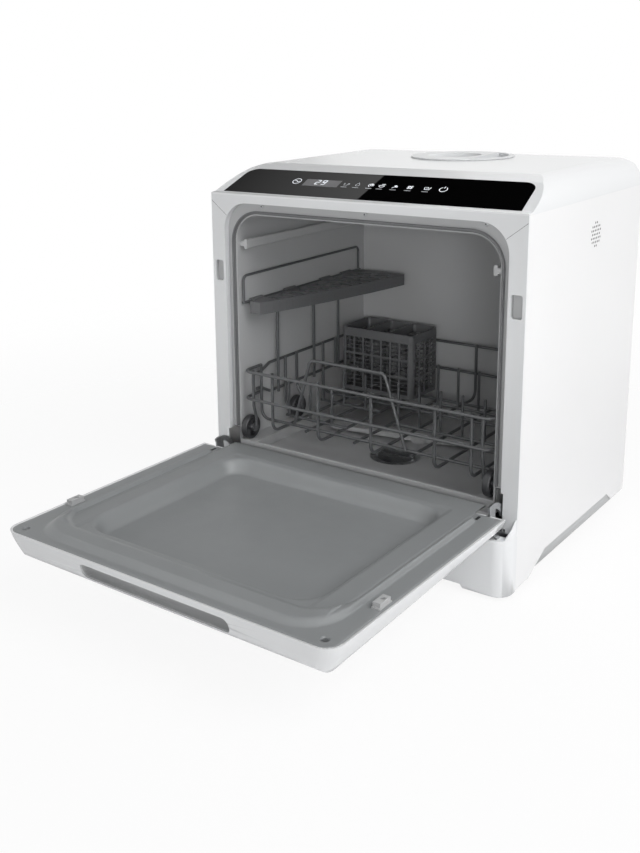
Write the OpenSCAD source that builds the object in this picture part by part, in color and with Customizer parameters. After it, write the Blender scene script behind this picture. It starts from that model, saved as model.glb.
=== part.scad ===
// Countertop dishwasher with a drop-down door and a wheeled wire rack.
// Millimetres, +Z up, the front faces -Y. The rest position is door open, rack in.

/* [Cabinet] */
// Width over the side panels
case_w = 420; // [410:2:460]
// Depth from the front frame to the back panel
case_d = 335; // [330:1:360]
// Height of the top cover above the floor
case_h = 452; // [450:1:480]
// Radius of the long side edges of the top cover
top_r = 32; // [20:1:34]
// Thickness of the painted sheet panels
skin_t = 1.5; // [1:0.1:2]
// Height of the rubber feet
foot_h = 12; // [8:1:14]
// Diameter of the rubber feet
foot_d = 34; // [24:1:40]
// How far the plinth stands in front of the front frame
plinth_reach = 24; // [22:1:26]
// Height of the plinth's top shelf
plinth_h = 70; // [60:1:70]
// Width of the face of the front frame beside the opening
frame_w = 20; // [18:1:22]
// Height of the front above its opening
header_h = 42; // [41:1:44]

/* [Control panel] */
// Distance of the glass's lower corners from the sides
glass_margin = 11; // [10:1:40]
// How far the glass's upper corners stand in from its lower ones
glass_taper = 18; // [16:1:50]
// Thickness of the glass
glass_t = 2.4; // [1.5:0.1:2.8]
// Width of the lit display window
display_w = 52; // [30:1:70]

/* [Fill port] */
// Diameter of the fill port in the top cover
port_d = 134; // [110:1:140]
// Distance of the fill port's centre from the back
port_back = 74; // [73:1:95]

/* [Tub] */
// Width of the front beside the mouth of the tub
jamb_w = 32.5; // [32:0.5:33]
// Height of the front opening above the mouth of the tub
mouth_drop = 15; // [14:1:17]
// Space behind the tub for the water tank
rear_space = 33; // [32:1:35]
// Wall thickness of the tub
tub_t = 2.5; // [2:0.1:3]
// Corner radius of the mouth of the tub
mouth_r = 34; // [20:1:40]
// Height of the tub floor between the tracks
tub_floor = 88; // [86:1:90]
// Width of the wheel tracks on both sides of the tub
track_w = 22; // [20:1:23]
// Clearance between the turning spray arm and the back of the tub
arm_gap = 9; // [7:1:30]
// Diameter of the filter
filter_d = 64; // [50:1:70]

/* [Door] */
// Distance of the hinge pins in front of the front frame
hinge_reach = 20; // [19:0.5:21]
// Thickness of the door at its free edge
door_t = 34; // [30:1:36]
// Height of the open door's rim above the floor
rim_z = 100; // [100:0.5:101]
// Corner radius of the door's free corners
door_r = 18; // [8:1:24]
// Length of the scooped hand grip
grip_w = 192; // [120:2:260]

/* [Rack] */
// Gap between the rack's side wires and the tub
rack_gap = 4.5; // [4.5:0.5:7]
// Diameter of the coated wire
wire_d = 4; // [3:0.1:4.4]
// Height of the rack's upper wire above the floor
rack_top = 193; // [185:1:196]
// Height of the rack's lower wire above the floor
rack_low = 157; // [150:1:160]
// Gap between the rack's back wires and the tub
rack_back_gap = 14; // [13:1:20]
// Diameter of the rack wheels
wheel_d = 31; // [26:0.5:31]
// Width of the rack wheels
wheel_w = 9; // [6:0.5:9]
// Height of the cup shelf above the floor
shelf_z = 282; // [270:1:290]
// Width of the cup shelf
shelf_w = 88; // [70:1:95]
// Height of the skirt round the cup shelf
skirt_h = 15; // [8:1:18]
// Height of the cutlery basket
basket_h = 90; // [70:1:92]
// Number of plate tines in a row
tine_count = 6; // [3:1:6]

/* [Hidden] */

// Clearances
fit = 0.06;       // radial running fit of a wheel, sleeve or hinge on its pin
gap = 0.3;        // between parts that pass or rest near each other
bead_ratio = 1.03; // size of the bead that joins a slanted bend

// Places of the cabinet
connector_reach = 14;
inlet_d = 26.4;
inlet_bore = 15;
drain_d = 18;
drain_bore = 12;
gland_d = 16;
gland_bore = 8;
half_w = case_w / 2;
y_back = case_d;
opening_top = case_h - header_h;
seam_z = opening_top + 9;
pan_z = foot_h;
pan_t = 2.5;
pan_rim = 22;
cover_t = 2.5;
cover_back_r = 10;
frame_t = 2.5;
port_bore = port_d - 8;
slope_y = 9;
slope_z = seam_z + 3;
crest_y = 62;
crest_z = case_h - 6;
slope_a = atan2(crest_z - slope_z, crest_y - slope_y);
slope_len = norm([crest_y - slope_y, crest_z - slope_z]);
glass_w = case_w - 2 * glass_margin;
glass_top_w = glass_w - 2 * glass_taper;
port_y = case_d - port_back;

// Places of the hinge: the pin's height follows from the open and the closed rim
// plane, and the door's reach from the height of the closed door's free edge.
rim_gap = 1.5;
door_top = seam_z - 1.5;
hinge_y = -hinge_reach;
hinge_z = rim_z + rim_gap + hinge_y;
door_reach = door_top - hinge_z - hinge_y;
y_front = (door_reach - case_d - connector_reach) / 2;
pin_d = 6;
door_end = -29;
heel_z = hinge_z - 7;
arm_x = half_w - frame_w - 1;
arm_t = 2.5;
bracket_t = 2.5;
bracket_x = arm_x + arm_t + 2;
latch_y = -262;
strike_x = half_w - 10;
strike_z = hinge_z + hinge_y - latch_y;
strike_w = 13;
strike_h = 26;

// Places of the tub and rack
half_mouth = half_w - jamb_w;
mouth_top = opening_top - mouth_drop;
tub_d = case_d - rear_space;
wheel_z = rim_z + 1.5 + wheel_d / 2 ;
track_z = wheel_z - wheel_d / 2 - gap;
sill_y = 6;
flange_y = 8;
ridge_h = 5;
ridge_step = 2;
liner_t = 2.5;
lip_x = half_mouth - 1.5;
lip_y = -6;
seal_y = hinge_y + rim_z + ridge_h - hinge_z + gap;
seal_in = 1.5;
seal_w = 4;
screw_xs = [-136.5, 10.5, 159.5];
screw_z = opening_top - 3.4;
flange_screw_d = 2;
liner_screw_d = 3.4;
hub_y = tub_d / 2 + 14;
hub_d = 12;
collar_h = 3;
filter_y = hub_y - 67;
arm_span = 2 * (tub_d - hub_y - arm_gap);
rack_y0 = 10;
rack_y1 = tub_d - rack_back_gap;
rack_d = rack_y1 - rack_y0;
rack_x = half_mouth - rack_gap;
weld = wire_d * 0.8;
bend_r = 12;
side_bend_r = 8;
axle_bend_r = 4;
tine_d = 3.6;
floor_z = 119;
cross_z = floor_z + weld;
cross_ys = [for (u = [0.115, 0.306, 0.626, 0.8345]) rack_y0 + u * rack_d];
long_xs = rack_x * [-0.7515, -0.347, 0.0925, 0.584, 0.85];
mid_xs = rack_x * [-0.549, -0.127, 0.335];
side_y = rack_y0 + 0.7374 * rack_d;
wheel_ys = [rack_y0 + 8, rack_y0 + 111, rack_y1 - 16];
wheel_x = rack_x - 3.2;
wheel_hub_d = 10;
tyre_t = 3;
spokes = 6;
spoke_t = 3.2;
upright_top = rack_top + 2;
kink_y0 = 36;
kink_y1 = 64;
post_ys = [for (u = [0.248, 0.547, 0.7626]) rack_y0 + u * rack_d];
shelf_x = -rack_x;
shelf_in = 6.5;
shelf_end = 6;
shelf_t = 2.5;
guard_h = 34;
shelf_y0 = rack_y0 + 2;
shelf_y1 = rack_y1 - 4;
basket_x0 = -rack_x + 19;
basket_x1 = -40;
basket_y1 = rack_y1 - 10;
basket_y0 = basket_y1 - 70;
basket_z = cross_z + wire_d / 2 + gap;
basket_t = 2;
basket_rim = 9;
slot_pitch = 14.5;
slot_w = 12;
slot_rise = 25;
slot_h = 22;
slots_x = floor((basket_x1 - basket_x0 - 10) / slot_pitch);
slots_y = floor((basket_y1 - basket_y0 - 10) / slot_pitch);
slots_z = floor((basket_h - basket_rim - 4) / slot_rise);

// ---------- helpers ----------
module at_front() translate([0, y_front, 0]) children();

module both_sides() {
    children();
    mirror([1, 0, 0]) children();
}

module rrect(w, h, r) {
    square([w - 2 * r, h], center = true);
    square([w, h - 2 * r], center = true);
    for (sx = [-1, 1], sy = [-1, 1])
        translate([sx * (w / 2 - r), sy * (h / 2 - r)]) circle(r, $fn = 48);
}

// A rounded rectangle from corner a to corner b
module rrect2(a, b, r) {
    translate((a + b) / 2) rrect(b[0] - a[0], b[1] - a[1], r);
}

// Extrudes an X-Z outline from y0 to y1
module along_y(y0, y1) {
    translate([0, y1, 0]) rotate([90, 0, 0]) linear_extrude(y1 - y0) children();
}

// Extrudes a Y-Z outline from x0 to x1
module along_x(x0, x1) {
    translate([x0, 0, 0]) rotate([90, 0, 90]) linear_extrude(x1 - x0) children();
}

module box(a, b) translate(a) cube(b - a);

// A straight round bar from p to q
module rod(p, q, d = wire_d) {
    v = q - p;
    translate(p)
        rotate([0, acos(v[2] / norm(v)), atan2(v[1], v[0])])
            cylinder(h = norm(v), d = d, $fn = 20);
}

function unit(v) = v / norm(v);
function turn(a, b, c) = acos(max(-1, min(1, unit(b - a) * unit(c - b))));
function trim(pts, i, r) =
    (i <= 0 || i >= len(pts) - 1) ? 0
    : r * tan(turn(pts[i - 1], pts[i], pts[i + 1]) / 2);

// The round bend of radius r at corner b of the path a-b-c
module bend(a, b, c, r, d) {
    u = unit(b - a);
    v = unit(c - b);
    t = turn(a, b, c);
    o = b + unit(v - u) * r / cos(t / 2);
    x = unit(b - u * r * tan(t / 2) - o);
    z = unit(cross(u, v));
    y = cross(z, x);
    multmatrix([[x[0], y[0], z[0], o[0]], [x[1], y[1], z[1], o[1]],
        [x[2], y[2], z[2], o[2]], [0, 0, 0, 1]])
        rotate_extrude(angle = t, $fn = 48) translate([r, 0]) circle(d = d, $fn = 20);
}

// A bent wire through the points, with bends of radius r. Where the wire slants,
// a bead hardly larger than the wire joins each bend to its straight stretches.
module wire(pts, r = bend_r, d = wire_d, beads = false) {
    for (i = [0 : len(pts) - 2]) {
        u = unit(pts[i + 1] - pts[i]);
        p = pts[i] + u * trim(pts, i, r);
        q = pts[i + 1] - u * trim(pts, i + 1, r);
        rod(p, q, d);
        if (beads) {
            if (i > 0) translate(p) sphere(d = d * bead_ratio, $fn = 20);
            if (i < len(pts) - 2) translate(q) sphere(d = d * bead_ratio, $fn = 20);
        }
    }
    if (len(pts) > 2)
        for (i = [1 : len(pts) - 2]) bend(pts[i - 1], pts[i], pts[i + 1], r, d);
}

// ---------- cabinet ----------
foot_x = half_w - 38;
foot_ys = [14, case_d - 34];
post_x = 130;
post_w = 14;
post_rows = [50, tub_d - 70];
rib_ys = [filter_y - 28, hub_y - 15, hub_y + 45, case_d - 50];

module base_pan() color("dimgray") at_front() {
    difference() {
        box([-half_w + skin_t, -plinth_reach + skin_t, pan_z],
            [half_w - skin_t, y_back - skin_t, pan_z + pan_rim]);
        box([-half_w + skin_t + pan_t, -plinth_reach + skin_t + pan_t, pan_z + pan_t],
            [half_w - skin_t - pan_t, y_back - skin_t - pan_t, pan_z + pan_rim + 1]);
    }
    // posts that the tub stands on
    for (sx = [-1, 1], y = post_rows) translate([sx * post_x - post_w / 2, y, pan_z + 1])
        cube([post_w, post_w, tub_floor - tub_t - pan_z - 1]);
    // stiffening ribs across the tray
    for (y = rib_ys)
        box([-half_w + skin_t + 1, y, pan_z + 2], [half_w - skin_t - 1, y + 2, pan_z + 7]);
    // front apron that closes the space below the tub
    box([-half_mouth, sill_y, pan_z + 2], [half_mouth, sill_y + 2, tub_floor - tub_t]);
}

module rubber_feet() color("#3a3a3c") at_front()
    for (sx = [-1, 1], y = foot_ys) translate([sx * foot_x, y, 0]) {
        cylinder(h = 3, d1 = foot_d - 3, d2 = foot_d, $fn = 48);
        translate([0, 0, 3]) cylinder(h = foot_h - 3, d = foot_d, $fn = 48);
    }

plinth_z = 4;
slot_depth = 5;
module plinth() color("white") at_front() difference() {
    union() {
        along_x(-half_w, half_w) polygon([[-plinth_reach, plinth_z], [frame_t, plinth_z],
            [frame_t, plinth_h], [-plinth_reach, plinth_h]]);
        // cheeks that carry the front edges of the sides down to the plinth
        both_sides() along_x(half_w - skin_t, half_w)
            polygon([[-plinth_reach, plinth_h - 1], [-0.2, plinth_h - 1],
                [-0.2, hinge_z + 8], [-1, hinge_z + 8], [-plinth_reach + 4, plinth_h + 2]]);
    }
    // hollow, open at the back and at the slot behind the top shelf
    box([-half_w + skin_t, -plinth_reach + skin_t, 0], [half_w - skin_t, 5, plinth_h - 2.5]);
    box([-half_w + skin_t, -9, plinth_h - 30], [half_w - skin_t, 5, plinth_h + 30]);
    // slots for the hinge brackets
    both_sides() box([bracket_x - 0.5, -plinth_reach + 4, plinth_h - 4],
        [bracket_x + bracket_t + 0.5, 2, plinth_h + slot_depth]);
    // relief arch between the front feet
    along_y(-plinth_reach - 1, -plinth_reach + 3)
        polygon([[-half_w + 50, 3], [-half_w + 54, 8], [half_w - 54, 8], [half_w - 50, 3]]);
}

// The profile of a side panel: level behind, dropped at the front corner
module side_profile() polygon([[frame_t, 6], [36, 6], [80, 26], [case_d - 60, 26],
    [case_d - 44, 14], [case_d, 14], [case_d, seam_z], [frame_t, seam_z]]);

module left_side_panel() color("white") at_front()
    along_x(-half_w, -half_w + skin_t) side_profile();

vent_y = 187;
vent_z = opening_top - 34;
vent_pitch = 5.2;
vent_r = 15.5;

module right_side_panel() color("white") at_front() difference() {
    along_x(half_w - skin_t, half_w) side_profile();
    // round field of vent holes on a hexagonal pitch
    for (row = [-3 : 3], col = [-3 : 3]) {
        y = (col + (row % 2 == 0 ? 0 : 0.5)) * vent_pitch;
        z = row * vent_pitch * sin(60);
        if (norm([y, z]) < vent_r)
            translate([half_w - skin_t - 1, vent_y + y, vent_z + z])
                rotate([0, 90, 0]) cylinder(h = skin_t + 2, d = 2.8, $fn = 16);
    }
}

inlet_x = 150;
drain_x = 95;
gland_x = -160;
port_z = 52;

module back_panel() color("white") at_front() difference() {
    along_y(y_back - skin_t, y_back)
        rrect2([-half_w + skin_t, 14], [half_w - skin_t, seam_z], 3);
    for (i = [0 : 13]) along_y(y_back - 3, y_back + 1)
        rrect2([-60, 100 + i * 9], [60, 104 + i * 9], 1.9);
    for (p = [[inlet_x, inlet_d], [drain_x, drain_d], [gland_x, gland_d]])
        translate([p[0], y_back - 3, port_z]) rotate([-90, 0, 0])
            cylinder(h = 5, d = p[1] + 2 * gap, $fn = 48);
}

// The solid outline of the top cover, or its hollow when t is the wall thickness
module cover_block(t) intersection() {
    z0 = seam_z - (t > 0 ? 1 : 0);
    along_y(-1, y_back + 1) {
        translate([-half_w + t, z0]) square([case_w - 2 * t, case_h - top_r - z0 + 0.5]);
        translate([-half_w + top_r, z0]) square([case_w - 2 * top_r, case_h - t - z0]);
        for (s = [-1, 1]) translate([s * (half_w - top_r), case_h - top_r])
            circle(top_r - t, $fn = 96);
    }
    along_x(-half_w - 1, half_w + 1) cover_profile(t, z0);
}

module cover_profile(t, z0) intersection() {
    crown_y = crest_y + 24;
    n = t * [sin(slope_a), -cos(slope_a)];
    // front slopes, open upwards behind the crown
    polygon([[t, z0], [t, slope_z - 1 - t / 2], [slope_y, slope_z] + n,
        [crest_y, crest_z] + n, [crown_y, case_h - t], [crown_y, case_h + 20],
        [y_back + 20, case_h + 20], [y_back + 20, z0]]);
    // level top with a rounded back edge
    rrect2([-case_d, z0 - case_h], [y_back - t, case_h - t], cover_back_r - t);
}

// Moves into the frame of the sloped control panel: x across, y up the slope
module on_slope() translate([0, slope_y, slope_z]) rotate([slope_a, 0, 0]) children();

module glass_outline(grow = 0) {
    r = 9;
    m = 3;
    points = [[-glass_w / 2, m], [glass_w / 2, m], [glass_top_w / 2, slope_len - m],
        [-glass_top_w / 2, slope_len - m]];
    hull() for (p = points)
        translate([p[0] - sign(p[0]) * r, p[1] < slope_len / 2 ? p[1] + 3 : p[1] - r])
            circle(p[1] < slope_len / 2 ? 3 + grow : r + grow, $fn = 32);
}

module top_cover() color("white") at_front() difference() {
    cover_block(0);
    cover_block(cover_t);
    on_slope() translate([0, 0, -cover_t - 4]) linear_extrude(cover_t + 8)
        glass_outline(gap);
    translate([0, port_y, case_h - 10]) cylinder(h = 20, d = port_d, $fn = 96);
}

module control_glass() color("#101114") at_front() on_slope()
    translate([0, 0, -glass_t]) linear_extrude(glass_t) glass_outline(0);

module display_module() color("darkgreen") at_front() on_slope() {
    translate([-118, 14, -glass_t - 6.6]) cube([232, 32, 1.6]);
    translate([-94, 18, -glass_t - 5]) cube([display_w, 18, 4.7]);
    for (i = [0 : 7]) translate([-35 + i * 18, 28, -glass_t - 5])
        cylinder(h = 4.7, d = 5, $fn = 24);
    // pillars that hold the board on the glass
    for (x = [-114, 110]) translate([x, 30, -glass_t - 5]) cylinder(h = 5, d = 5, $fn = 24);
}

module opening_outline(grow) {
    translate([-half_w + frame_w - grow, 0])
        square([case_w - 2 * frame_w + 2 * grow, opening_top - mouth_r]);
    rrect2([-half_w + frame_w - grow, opening_top - 4 * mouth_r],
        [half_w - frame_w + grow, opening_top + grow], mouth_r + grow);
}

module front_frame() color("whitesmoke") at_front() difference() {
    union() {
        along_y(0, frame_t) translate([-half_w, plinth_h])
            square([case_w, seam_z - plinth_h]);
        // lip that turns in to the tub's flange
        along_y(0, flange_y) intersection() {
            opening_outline(2);
            translate([-half_w, hinge_z + 30]) square([case_w, case_h]);
        }
    }
    along_y(-1, flange_y + 1) opening_outline(0);
    both_sides() {
        along_y(-1, 4) rrect2([strike_x - strike_w / 2, strike_z - strike_h / 2],
            [strike_x + strike_w / 2, strike_z + strike_h / 2], 3);
        // slot that the hinge arm passes through
        box([arm_x - 1.2, -1, hinge_z - 14], [arm_x + arm_t + 1.2, flange_y + 1, hinge_z + 34]);
        // notch over the hinge bracket
        box([bracket_x - 0.5, -1, plinth_h - 1],
            [bracket_x + bracket_t + 0.5, flange_y + 1, plinth_h + slot_depth]);
    }
}

// Box round a strike opening, grown sideways, from y0 to y1
module strike_box(grow, y0, y1) box([strike_x - strike_w / 2 - grow, y0, strike_z - strike_h / 2 - grow],
    [strike_x + strike_w / 2 + grow, y1, strike_z + strike_h / 2 + grow]);

module strike_pockets() color("silver") at_front() both_sides() difference() {
    strike_box(1.2, frame_t, 8);
    strike_box(0, frame_t - 1, 6.5);
}

// ---------- tub and its fittings ----------
module mouth_outline(grow) {
    rrect2([-half_mouth - grow, track_z - grow - 100], [half_mouth + grow, mouth_top + grow],
        mouth_r + grow);
}

module tub() color("gray") at_front() difference() {
    union() {
        // shell
        along_y(flange_y, tub_d + tub_t) intersection() {
            mouth_outline(tub_t);
            translate([-half_w, tub_floor - tub_t]) square([case_w, case_h]);
        }
        // flange behind the front frame
        along_y(flange_y, flange_y + 2) intersection() {
            rrect2([-half_w + frame_w - 2, 0], [half_w - frame_w + 2, opening_top + 2], mouth_r);
            translate([-half_w, track_z - 30]) square([case_w, case_h]);
        }
        // deep moulding ribs round the shell
        for (y = [tub_d / 3, tub_d * 0.76]) along_y(y, y + 2) intersection() {
            mouth_outline(tub_t + 4);
            translate([-half_w, tub_floor - tub_t]) square([case_w, case_h]);
        }
    }
    // inside, above the tracks
    along_y(-1, tub_d) intersection() {
        mouth_outline(0);
        translate([-half_w, track_z]) square([case_w, case_h]);
    }
    // floor between the tracks
    box([-half_mouth + track_w, flange_y + 3, tub_floor], [half_mouth - track_w, tub_d - 6, 200]);
    // hollow below the wheel tracks
    both_sides() box([half_mouth - track_w + tub_t, flange_y + 3, tub_floor - 5],
        [half_mouth - tub_t, tub_d - 3, track_z - tub_t]);
    for (x = screw_xs) translate([x, flange_y + 3, screw_z]) rotate([90, 0, 0])
        cylinder(h = 4, d = flange_screw_d + 2 * fit, $fn = 24);
    // room for the hinge arms
    both_sides() box([half_mouth + 2, -1, 0], [half_w, 12, hinge_z + 36]);
    // seats of the filter and the spray post
    translate([0, filter_y, tub_floor - 20]) cylinder(h = 40, d = filter_d + 2 * gap, $fn = 64);
    translate([0, hub_y, tub_floor - 20]) cylinder(h = 40, d = 22, $fn = 48);
}

module door_seal() color("#2b2b2d") at_front() along_y(seal_y, flange_y)
    intersection() {
        difference() {
            mouth_outline(seal_in + seal_w);
            mouth_outline(seal_in);
        }
        translate([-half_w, hinge_z + 38]) square([case_w, case_h]);
    }

module flange_screws() color("silver") at_front() for (x = screw_xs)
    translate([x, flange_y, screw_z]) rotate([90, 0, 0]) {
        cylinder(h = 1.8, d = 5, $fn = 32);
        translate([0, 0, -1.5]) cylinder(h = 1.6, d = flange_screw_d, $fn = 24);
    }

upper_z = mouth_top - 38;
rail_w = 4.5;
rail_h = 12;
rail_out = 11;
// Rounded bar that stands off the tub's wall on a web
module upper_rail() along_y(14, tub_d - 12) {
    rrect2([half_mouth - rail_out, upper_z - rail_h / 2],
        [half_mouth - rail_out + rail_w, upper_z + rail_h / 2], 2);
    translate([half_mouth - rail_out + rail_w - 1, upper_z - 3])
        square([rail_out - rail_w + 1, 6]);
}

module left_upper_rail() color("silver") at_front() mirror([1, 0, 0]) upper_rail();
module right_upper_rail() color("silver") at_front() upper_rail();

sump_z = 42;
sump_x = 52;
filter_z = sump_z + 6 + gap;
module sump() color("dimgray") at_front() difference() {
    translate([0, 0, sump_z]) linear_extrude(tub_floor - tub_t - sump_z)
        rrect2([-sump_x, filter_y - 43], [sump_x, hub_y + 40], 20);
    translate([0, filter_y, sump_z + 6]) cylinder(h = 60, d = filter_d - 6, $fn = 64);
    translate([0, hub_y, sump_z + 16]) cylinder(h = 60, d = 16, $fn = 48);
    translate([0, filter_y + 20, sump_z + 16]) rotate([-90, 0, 0])
        cylinder(h = 40, d = 12, $fn = 32);
}

pan_floor = pan_z + pan_t;
pump_y = (filter_y + hub_y) / 2 - 1.5;
volute_l = 22;
motor_l = 62;
module wash_pump() color("#505358") at_front() {
    translate([sump_x, pump_y, sump_z + 12]) rotate([0, 90, 0]) {
        cylinder(h = volute_l, d = 56, $fn = 64);
        translate([0, 0, volute_l]) cylinder(h = motor_l, d = 48, $fn = 64);
        translate([0, 0, volute_l + motor_l]) cylinder(h = 6, d = 14, $fn = 32);
    }
    box([sump_x + 28, pump_y - 14, pan_floor], [sump_x + 68, pump_y + 14, sump_z - 8]);
}

module drain_pump() color("#505358") at_front() {
    translate([-sump_x, filter_y - 8, sump_z + 8]) rotate([0, -90, 0]) {
        cylinder(h = 16, d = 44, $fn = 48);
        translate([0, 0, 16]) cylinder(h = 40, d = 34, $fn = 48);
    }
    box([-sump_x - 48, filter_y - 18, pan_floor], [-sump_x - 22, filter_y + 2, sump_z - 4]);
}

heater_l = 60;
module heater() color("silver") at_front() {
    translate([0, hub_y + 40, sump_z + 16]) rotate([-90, 0, 0]) {
        cylinder(h = heater_l, d = 36, $fn = 48);
        translate([0, 0, heater_l]) cylinder(h = 12, d = 14, $fn = 32);
    }
    box([-10, hub_y + 60, pan_floor], [10, hub_y + 80, sump_z + 4]);
}

board_y = case_d - 85;
board_z = pan_z + 10;
board_t = 1.6;
module control_board() color("darkgreen") at_front() {
    box([-160, board_y, board_z], [-50, board_y + 66, board_z + board_t]);
    for (x = [-155, -55], y = [board_y + 5, board_y + 61])
        translate([x, y, pan_floor]) cylinder(h = board_z - pan_floor, d = 6, $fn = 24);
    // relay block, transformer and capacitors
    box([-150, board_y + 12, board_z + board_t], [-120, board_y + 40, board_z + 26]);
    box([-110, board_y + 14, board_z + board_t], [-92, board_y + 32, board_z + 18]);
    for (i = [0 : 2]) translate([-80 + i * 11, board_y + 45, board_z + board_t])
        cylinder(h = 18, d = 9, $fn = 24);
}

tank_y0 = tub_d + tub_t + 0.5;
tank_y1 = y_back - skin_t - 0.5;
tank_x = half_w - 20;
tank_z0 = 92;
tank_z1 = case_h - 50;
tank_t = 2;
module water_tank() color("lightsteelblue") at_front() difference() {
    along_y(tank_y0, tank_y1) rrect2([-tank_x, tank_z0], [tank_x, tank_z1], 14);
    along_y(tank_y0 + tank_t, tank_y1 - tank_t)
        rrect2([-tank_x + tank_t, tank_z0 + tank_t], [tank_x - tank_t, tank_z1 - tank_t], 12);
    box([-26, tank_y0 + 5, tank_z1 - 6], [26, tank_y1 - 5, tank_z1 + 5]);
}

neck_z = case_h - 27;
module fill_neck() color("whitesmoke") at_front() difference() {
    union() {
        translate([0, port_y, neck_z]) cylinder(h = 19, d = port_d - 1, $fn = 96);
        translate([0, port_y, neck_z + 19]) cylinder(h = 8, d = port_d - 1, $fn = 96);
        box([-28, port_y, neck_z - 10], [28, tank_y1 - 3, neck_z + 4]);
        box([-28, tank_y0 + 3, tank_z1], [28, tank_y1 - 3, neck_z - 9]);
    }
    translate([0, port_y, neck_z + 3]) cylinder(h = 40, d = port_bore, $fn = 96);
    box([-25, port_y, neck_z - 7], [25, tank_y1 - 5, neck_z + 1]);
    translate([0, port_y, neck_z - 5]) cylinder(h = 12, d = 48, $fn = 48);
    box([-25, tank_y0 + 5, tank_z1 - 1], [25, tank_y1 - 5, neck_z - 5]);
}

module drying_fan() color("#2b2b2d") at_front() {
    difference() {
        along_x(half_w - skin_t - 14, half_w - skin_t - 1)
            translate([vent_y, vent_z]) rrect(46, 46, 4);
        translate([half_w - skin_t - 12, vent_y, vent_z]) rotate([0, 90, 0])
            cylinder(h = 20, d = 41, $fn = 48);
    }
    // rotor, and the struts behind it that hold its hub
    along_x(half_w - skin_t - 12, half_w - skin_t - 4) translate([vent_y, vent_z]) {
        circle(d = 15, $fn = 32);
        for (i = [0 : 6]) rotate(i * 360 / 7) translate([6, -0.7]) square([13.5, 1.4]);
    }
    along_x(half_w - skin_t - 14, half_w - skin_t - 11.5) translate([vent_y, vent_z])
        for (i = [0 : 2]) rotate(i * 120 + 30) translate([0, -1.5]) square([22, 3]);
    // bracket that hangs the fan on the tub
    box([half_mouth + tub_t, vent_y - 15, vent_z - 20],
        [half_w - skin_t - 13, vent_y + 15, vent_z - 16]);
}

module inlet_connector() color("white") at_front()
    translate([inlet_x, 0, port_z]) rotate([-90, 0, 0]) difference() {
        union() {
            translate([0, 0, y_back - 24]) cylinder(h = 24 + connector_reach, d = inlet_d, $fn = 64);
            translate([0, 0, y_back - skin_t - 3]) cylinder(h = 3, d = 36, $fn = 6);
            for (i = [0 : 3]) translate([0, 0, y_back + 3 + i * 2.6])
                cylinder(h = 1.2, d = inlet_d + 1, $fn = 64);
        }
        translate([0, 0, y_back - 25]) cylinder(h = 60, d = inlet_bore, $fn = 48);
    }

module drain_connector() color("dimgray") at_front()
    translate([drain_x, 0, port_z]) rotate([-90, 0, 0]) difference() {
        union() {
            translate([0, 0, y_back - 24]) cylinder(h = 24 + connector_reach, d = drain_d, $fn = 64);
            translate([0, 0, y_back - skin_t - 3]) cylinder(h = 3, d = 28, $fn = 48);
            for (i = [0 : 1]) translate([0, 0, y_back + 5 + i * 5])
                cylinder(h = 2, d = drain_d + 1.6, $fn = 64);
        }
        translate([0, 0, y_back - 25]) cylinder(h = 60, d = drain_bore, $fn = 48);
    }

module power_gland() color("#2b2b2d") at_front()
    translate([gland_x, 0, port_z]) rotate([-90, 0, 0]) difference() {
        union() {
            translate([0, 0, y_back - 12]) cylinder(h = 12, d = gland_d, $fn = 48);
            translate([0, 0, y_back]) cylinder(h = 3, d = gland_d + 8, $fn = 48);
            translate([0, 0, y_back - skin_t - 3]) cylinder(h = 3, d = gland_d + 8, $fn = 6);
        }
        translate([0, 0, y_back - 13]) cylinder(h = 30, d = gland_bore, $fn = 32);
    }

arm_z = tub_floor + collar_h + gap;
module spray_post() color("gray") at_front() translate([0, hub_y, 0]) {
    difference() {
        union() {
            translate([0, 0, tub_floor - tub_t - 12]) cylinder(h = tub_t + 12, d = 15.6, $fn = 48);
            translate([0, 0, tub_floor]) cylinder(h = collar_h, d = 28, $fn = 48);
            translate([0, 0, tub_floor + collar_h]) cylinder(h = 10, d = hub_d, $fn = 48);
        }
        translate([0, 0, tub_floor - tub_t - 13]) cylinder(h = 26, d = 8, $fn = 32);
    }
}

module spray_arm() color("silver") at_front() translate([0, hub_y, arm_z]) difference() {
    union() {
        cylinder(h = 13, d = 34, $fn = 64);
        for (a = [12, 192]) rotate([0, 0, a]) {
            hull() {
                cylinder(h = 8, d = 28, $fn = 32);
                translate([arm_span / 2 - 9, 0, 1]) cylinder(h = 5, d = 18, $fn = 32);
            }
        }
    }
    translate([0, 0, -1]) cylinder(h = 11, d = hub_d + 2 * fit, $fn = 48);
    for (a = [12, 192], r = [40 : 22 : arm_span / 2 - 18]) rotate([0, 0, a]) translate([r, 2, 2])
        cylinder(h = 12, d = 3, $fn = 24);
}

module filter() color("#a8adb2") at_front() translate([0, filter_y, 0]) {
    difference() {
        union() {
            translate([0, 0, tub_floor - tub_t + fit])
                cylinder(h = tub_t - fit, d = filter_d, $fn = 64);
            translate([0, 0, filter_z]) cylinder(h = tub_floor - 1 - filter_z, d = filter_d - 8, $fn = 64);
        }
        translate([0, 0, filter_z - 1]) cylinder(h = 60, d = filter_d - 14, $fn = 64);
        for (i = [0 : 7]) rotate([0, 0, i * 45 + 22.5])
            translate([filter_d / 2 - 9, -5, filter_z + 6]) cube([8, 10, 24]);
    }
    // floor, centre column and handle bar
    translate([0, 0, filter_z]) cylinder(h = 2, d = filter_d - 12, $fn = 64);
    translate([0, 0, filter_z + 1]) cylinder(h = tub_floor - 13 - filter_z, d = 18, $fn = 32);
    box([-filter_d / 2 + 5, -2, tub_floor - 14], [filter_d / 2 - 5, 2, tub_floor + 1]);
}

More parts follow.
